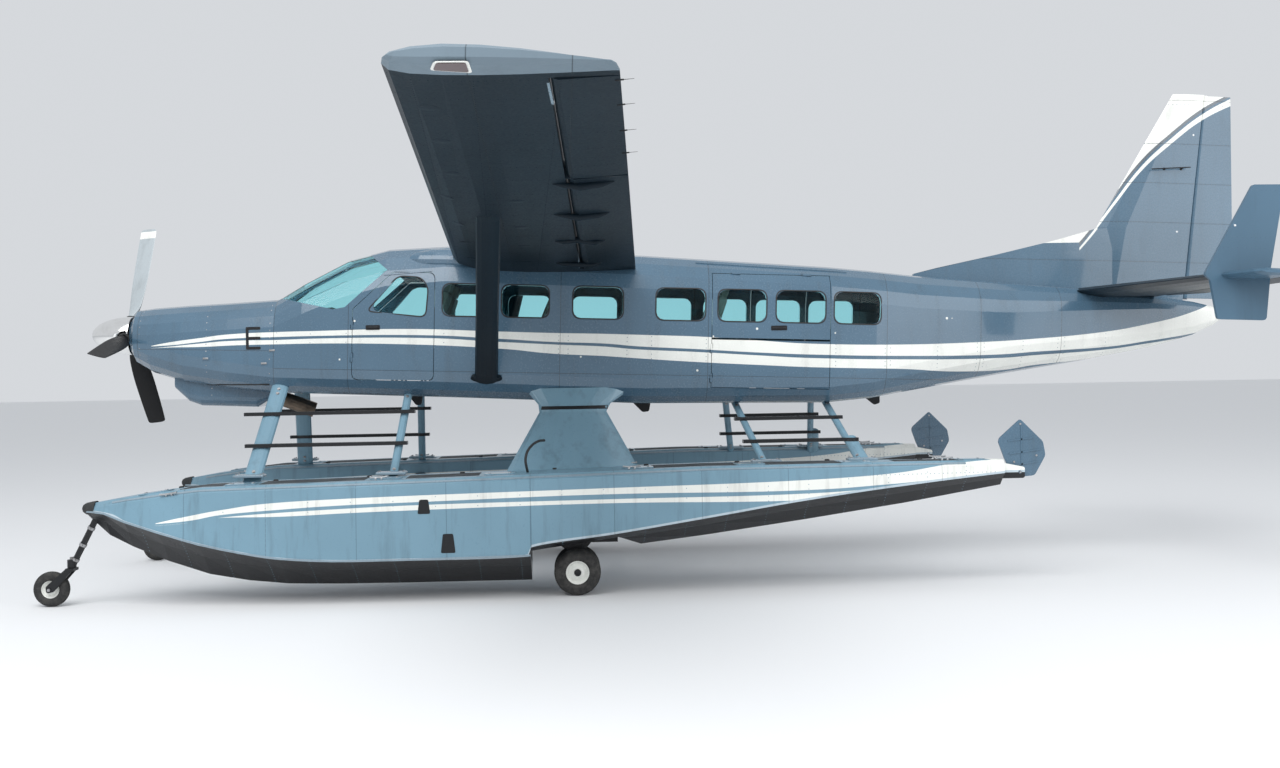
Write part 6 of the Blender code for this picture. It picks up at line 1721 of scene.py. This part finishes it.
class StrutOperator(bpy.types.Operator):
    """Foot fittings and bolts of the float struts, and the rivets and bands of the pylons"""
    bl_idname = "floatplane.struts"
    bl_label = "Float struts"

    def execute(self, context):
        plates, bolts, bands = Shape(), Shape(), Shape()
        skin = Skin("front_struts_left", "front_struts_right", "rear_struts_left", "rear_struts_right")
        for label, side in SIDES:
            for foot, head in FRONT_STRUTS + REAR_STRUTS:
                foot, head = Vector(foot), Vector(head)
                foot.y *= side
                head.y *= side
                axis = (head - foot).normalized()
                for base, way in ((foot, 1), (head, -1)):
                    for out in (-1, 1):
                        for lift in (0.13, 0.19):
                            origin = LEVEL @ (base + axis * way * lift) + Vector((0, out * 0.6, 0))
                            hit = skin.hit(origin, Vector((0, -out, 0)))
                            if hit:
                                place = frame_at(hit[1] - hit[2] * 0.001, hit[2])
                                bolts.rod(place.translation, place @ Vector((0, 0, 0.010)), 0.013, 6)
                                bolts.rod(place.translation, place @ Vector((0, 0, 0.004)), 0.018, 16)
                deck = LEVEL @ foot
                plates.block((deck.x, deck.y, 1.205 if foot.x < 0 else 1.245), (0.30, 0.16, 0.030), 0.010)
                for across in (-0.055, 0.055):
                    for along in (-0.12, 0.12):
                        bolts.rod((deck.x + along, deck.y + across, 1.215 if foot.x < 0 else 1.255),
                                  (deck.x + along, deck.y + across, 1.230 if foot.x < 0 else 1.270), 0.010, 6)
        plates.finish("strut_foot_plates", "strut_paint", "airframe")
        bolts.finish("strut_bolts", "fastener_metal", "airframe", angle=30)
        pylons = Skin("pylon_left", "pylon_right")
        lines = []
        for label, side in SIDES:
            for out in (-1, 1):
                for z in (1.30, 1.38, 1.95, 2.03):
                    lines.append([(Vector((-2.1 + 0.03 * k, side * (2.20 if out > 0 else 0.0), z)),
                                   Vector((0, -side * out, 0))) for k in range(60)])
                rows = [(Vector((-2.1 + 0.03 * k, side * (2.20 if out > 0 else 0.0), 1.815)),
                         Vector((0, -side * out, 0))) for k in range(60)]
                path = []
                for origin, direction in rows:
                    hit = pylons.hit(origin, direction)
                    if hit:
                        path.append((hit[1], hit[2]))
                if len(path) > 3:
                    ribbon(bands, path, 0.045, 0.004)
        found = rows_on_skin(pylons, lines, 0.05)
        stud_piece("pylon_rivets", [p for paths in found.values() for p in paths], "plain_blue", "airframe",
                   0.05, 0.0055, 0.002)
        bands.finish("pylon_bands", "black_steel", "airframe")
        return {"FINISHED"}


class GearOperator(bpy.types.Operator):
    """Brake pipes, clamps and fork bolts"""
    bl_idname = "floatplane.gear"
    bl_label = "Gear"

    def execute(self, context):
        pipes, clamps = Shape(), Shape()
        for label, side in SIDES:
            y = side * FLOAT_Y
            for way in (-1, 1):
                points = [(MAIN_WHEEL.x + 0.04, y + way * 0.062, 0.66), (MAIN_WHEEL.x + 0.06, y + way * 0.066, 0.52),
                          (MAIN_WHEEL.x + 0.045, y + way * 0.070, 0.40), (MAIN_WHEEL.x + 0.07, y + way * 0.072, 0.32),
                          (MAIN_WHEEL.x + 0.065, y + way * 0.080, 0.27)]
                pipes.tube([LEVEL @ point for point in smooth_path(points, 5)], 0.005, 8)
            arm_top, arm_foot = Vector((-3.400, y, 0.900)), Vector((-3.655, y, 0.400))
            axis = (arm_foot - arm_top).normalized()
            for share in (0.30, 0.62, 0.90):
                centre = LEVEL @ arm_top.lerp(arm_foot, share)
                clamps.turned(((0.029, -0.014), (0.036, -0.014), (0.036, 0.014), (0.029, 0.014)), centre, axis, 24)
                clamps.block(centre + Vector((0, side * 0.040, 0)), (0.020, 0.022, 0.020), 0.003)
            line = [arm_top.lerp(arm_foot, k / 8) + Vector((0.030, side * 0.022, 0.012)) for k in range(9)]
            pipes.tube([LEVEL @ point for point in line], 0.005, 8)
        pipes.finish("gear_pipes", "seal_rubber", "airframe")
        clamps.finish("gear_clamps", "fastener_metal", "airframe")
        for label, side in SIDES:
            shape = Shape()
            y = side * FLOAT_Y
            for way in (-1, 1):
                start = Vector((NOSE_WHEEL.x, y + way * 0.060, NOSE_WHEEL.z))
                shape.rod(start, start + Vector((0, way * 0.034, 0)), 0.016, 6)
            top = Vector((SWIVEL_X, y, 0.455))
            shape.rod(top, top + Vector((0, 0, 0.020)), 0.020, 6)
            shape.finish("fork_bolts_" + label, "fastener_metal", "nose_fork_" + label, LEVEL)
        return {"FINISHED"}


class WaterRudderOperator(bpy.types.Operator):
    """Stiffening ribs and hinge bolts of the water rudders"""
    bl_idname = "floatplane.water_rudders"
    bl_label = "Water rudders"

    def execute(self, context):
        for label, side in SIDES:
            node = "water_rudder_" + label
            skin = Skin(node)
            ribs, bolts = Shape(), Shape()
            y = side * FLOAT_Y
            for way in (-1, 1):
                for start, end in (((5.60, 1.16), (5.86, 1.20)), ((5.57, 1.28), (5.89, 1.32)),
                                   ((5.56, 1.41), (5.82, 1.44)), ((5.70, 1.12), (5.70, 1.56))):
                    path = []
                    for point in stepped((start[0], 0, start[1]), (end[0], 0, end[1]), 0.03):
                        hit = skin.side(point.x, point.z, way, LEVEL, 0.8, y)
                        if hit:
                            path.append((hit[1], hit[2]))
                    if len(path) > 2:
                        ribbon(ribs, path, 0.020, 0.006)
                for x, z in ((5.660, 1.100), (5.62, 1.20), (5.85, 1.26), (5.69, 1.58)):
                    hit = skin.side(x, z, way, LEVEL, 0.8, y)
                    if hit:
                        place = frame_at(hit[1] - hit[2] * 0.001, hit[2])
                        bolts.rod(place.translation, place @ Vector((0, 0, 0.008)), 0.011, 6)
            ribs.finish("water_rudder_ribs_" + label, "plain_slate", node)
            bolts.finish("water_rudder_bolts_" + label, "fastener_metal", node)
        return {"FINISHED"}


class StageOperator(bpy.types.Operator):
    """Pale floor, soft studio light and the photograph's camera"""
    bl_idname = "floatplane.stage"
    bl_label = "Stage"

    def execute(self, context):
        settings = context.scene.floatplane_stage
        scene = context.scene
        mesh = bpy.data.meshes.new("floor")
        far = 260.0
        mesh.from_pydata([(-far, -far, 0), (far, -far, 0), (far, far, 0), (-far, far, 0)], [], [(0, 1, 2, 3)])
        floor = bpy.data.objects.new("floor", mesh)
        scene.collection.objects.link(floor)
        material = bpy.data.materials.new("floor")
        material.use_nodes = True
        shader = material.node_tree.nodes["Principled BSDF"]
        shader.inputs["Base Color"].default_value = (*settings.floor, 1)
        shader.inputs["Roughness"].default_value = 0.9
        mesh.materials.append(material)

        world = bpy.data.worlds.new("studio")
        world.use_nodes = True
        world.node_tree.nodes["Background"].inputs[0].default_value = (0.93, 0.96, 1.0, 1)
        world.node_tree.nodes["Background"].inputs[1].default_value = 0.72
        scene.world = world
        for name, power, size, place, target in (
                ("key", settings.key, 16.0, (-6.0, -14.0, 17.0), (0, 0, 2)),
                ("fill", settings.fill, 12.0, (14.0, -12.0, 8.0), (0, 0, 2))):
            light = bpy.data.lights.new(name, "AREA")
            light.energy = power
            light.size = size
            holder = bpy.data.objects.new(name, light)
            holder.location = place
            holder.rotation_euler = (Vector(target) - Vector(place)).to_track_quat("-Z", "Y").to_euler()
            scene.collection.objects.link(holder)

        camera = bpy.data.cameras.new("camera")
        camera.lens = settings.lens
        camera.sensor_width = 36.0
        camera.clip_end = 1000.0
        holder = bpy.data.objects.new("camera", camera)
        holder.matrix_world = camera_matrix()
        scene.collection.objects.link(holder)
        scene.camera = holder
        scene.view_settings.view_transform = "Standard"
        return {"FINISHED"}


CAMERA_PLACE = (-1.260, -15.044, 2.083)
CAMERA_YAW = -0.0562
CAMERA_PITCH = -0.0025
CAMERA_ROLL = 0.0179


def camera_matrix():
    """The photograph's viewpoint."""
    forward = Vector((-math.sin(CAMERA_YAW) * math.cos(CAMERA_PITCH), math.cos(CAMERA_YAW) * math.cos(CAMERA_PITCH),
                      math.sin(CAMERA_PITCH)))
    right = forward.cross(Vector((0, 0, 1))).normalized()
    upward = right.cross(forward)
    turned_right = right * math.cos(CAMERA_ROLL) - upward * math.sin(CAMERA_ROLL)
    turned_up = upward * math.cos(CAMERA_ROLL) + right * math.sin(CAMERA_ROLL)
    matrix = Matrix((turned_right, turned_up, -forward)).transposed().to_4x4()
    matrix.translation = Vector(CAMERA_PLACE)
    return matrix


STEPS = (StageOperator, PaintOperator, GlazingOperator, FuselageTrimOperator, CowlOperator, PropellerOperator,
         WingOperator, TailOperator, FloatOperator, StrutOperator, GearOperator, WheelOperator, WaterRudderOperator,
         CabinOperator, RivetOperator)


class FloatplanePanel(bpy.types.Panel):
    """Lists the floatplane's steps"""
    bl_idname = "VIEW3D_PT_floatplane"
    bl_label = "Floatplane"
    bl_space_type = "VIEW_3D"
    bl_region_type = "UI"
    bl_category = "Floatplane"

    def draw(self, context):
        column = self.layout.column()
        for step in STEPS:
            column.operator(step.bl_idname)
        for name, group in SETTINGS:
            column.label(text=group.__doc__)
            for field in group.__annotations__:
                column.prop(getattr(context.scene, name), field)


def register():
    for name, group in SETTINGS:
        bpy.utils.register_class(group)
        setattr(bpy.types.Scene, name, PointerProperty(type=group))
    for step in STEPS:
        bpy.utils.register_class(step)
    bpy.utils.register_class(FloatplanePanel)


def unregister():
    bpy.utils.unregister_class(FloatplanePanel)
    for step in reversed(STEPS):
        bpy.utils.unregister_class(step)
    for name, group in reversed(SETTINGS):
        delattr(bpy.types.Scene, name)
        bpy.utils.unregister_class(group)


def main():
    """Run every step in order."""
    register()
    for step in STEPS:
        group, name = step.bl_idname.split(".")
        getattr(getattr(bpy.ops, group), name)()
    bpy.context.view_layer.update()


if __name__ == "__main__":
    main()
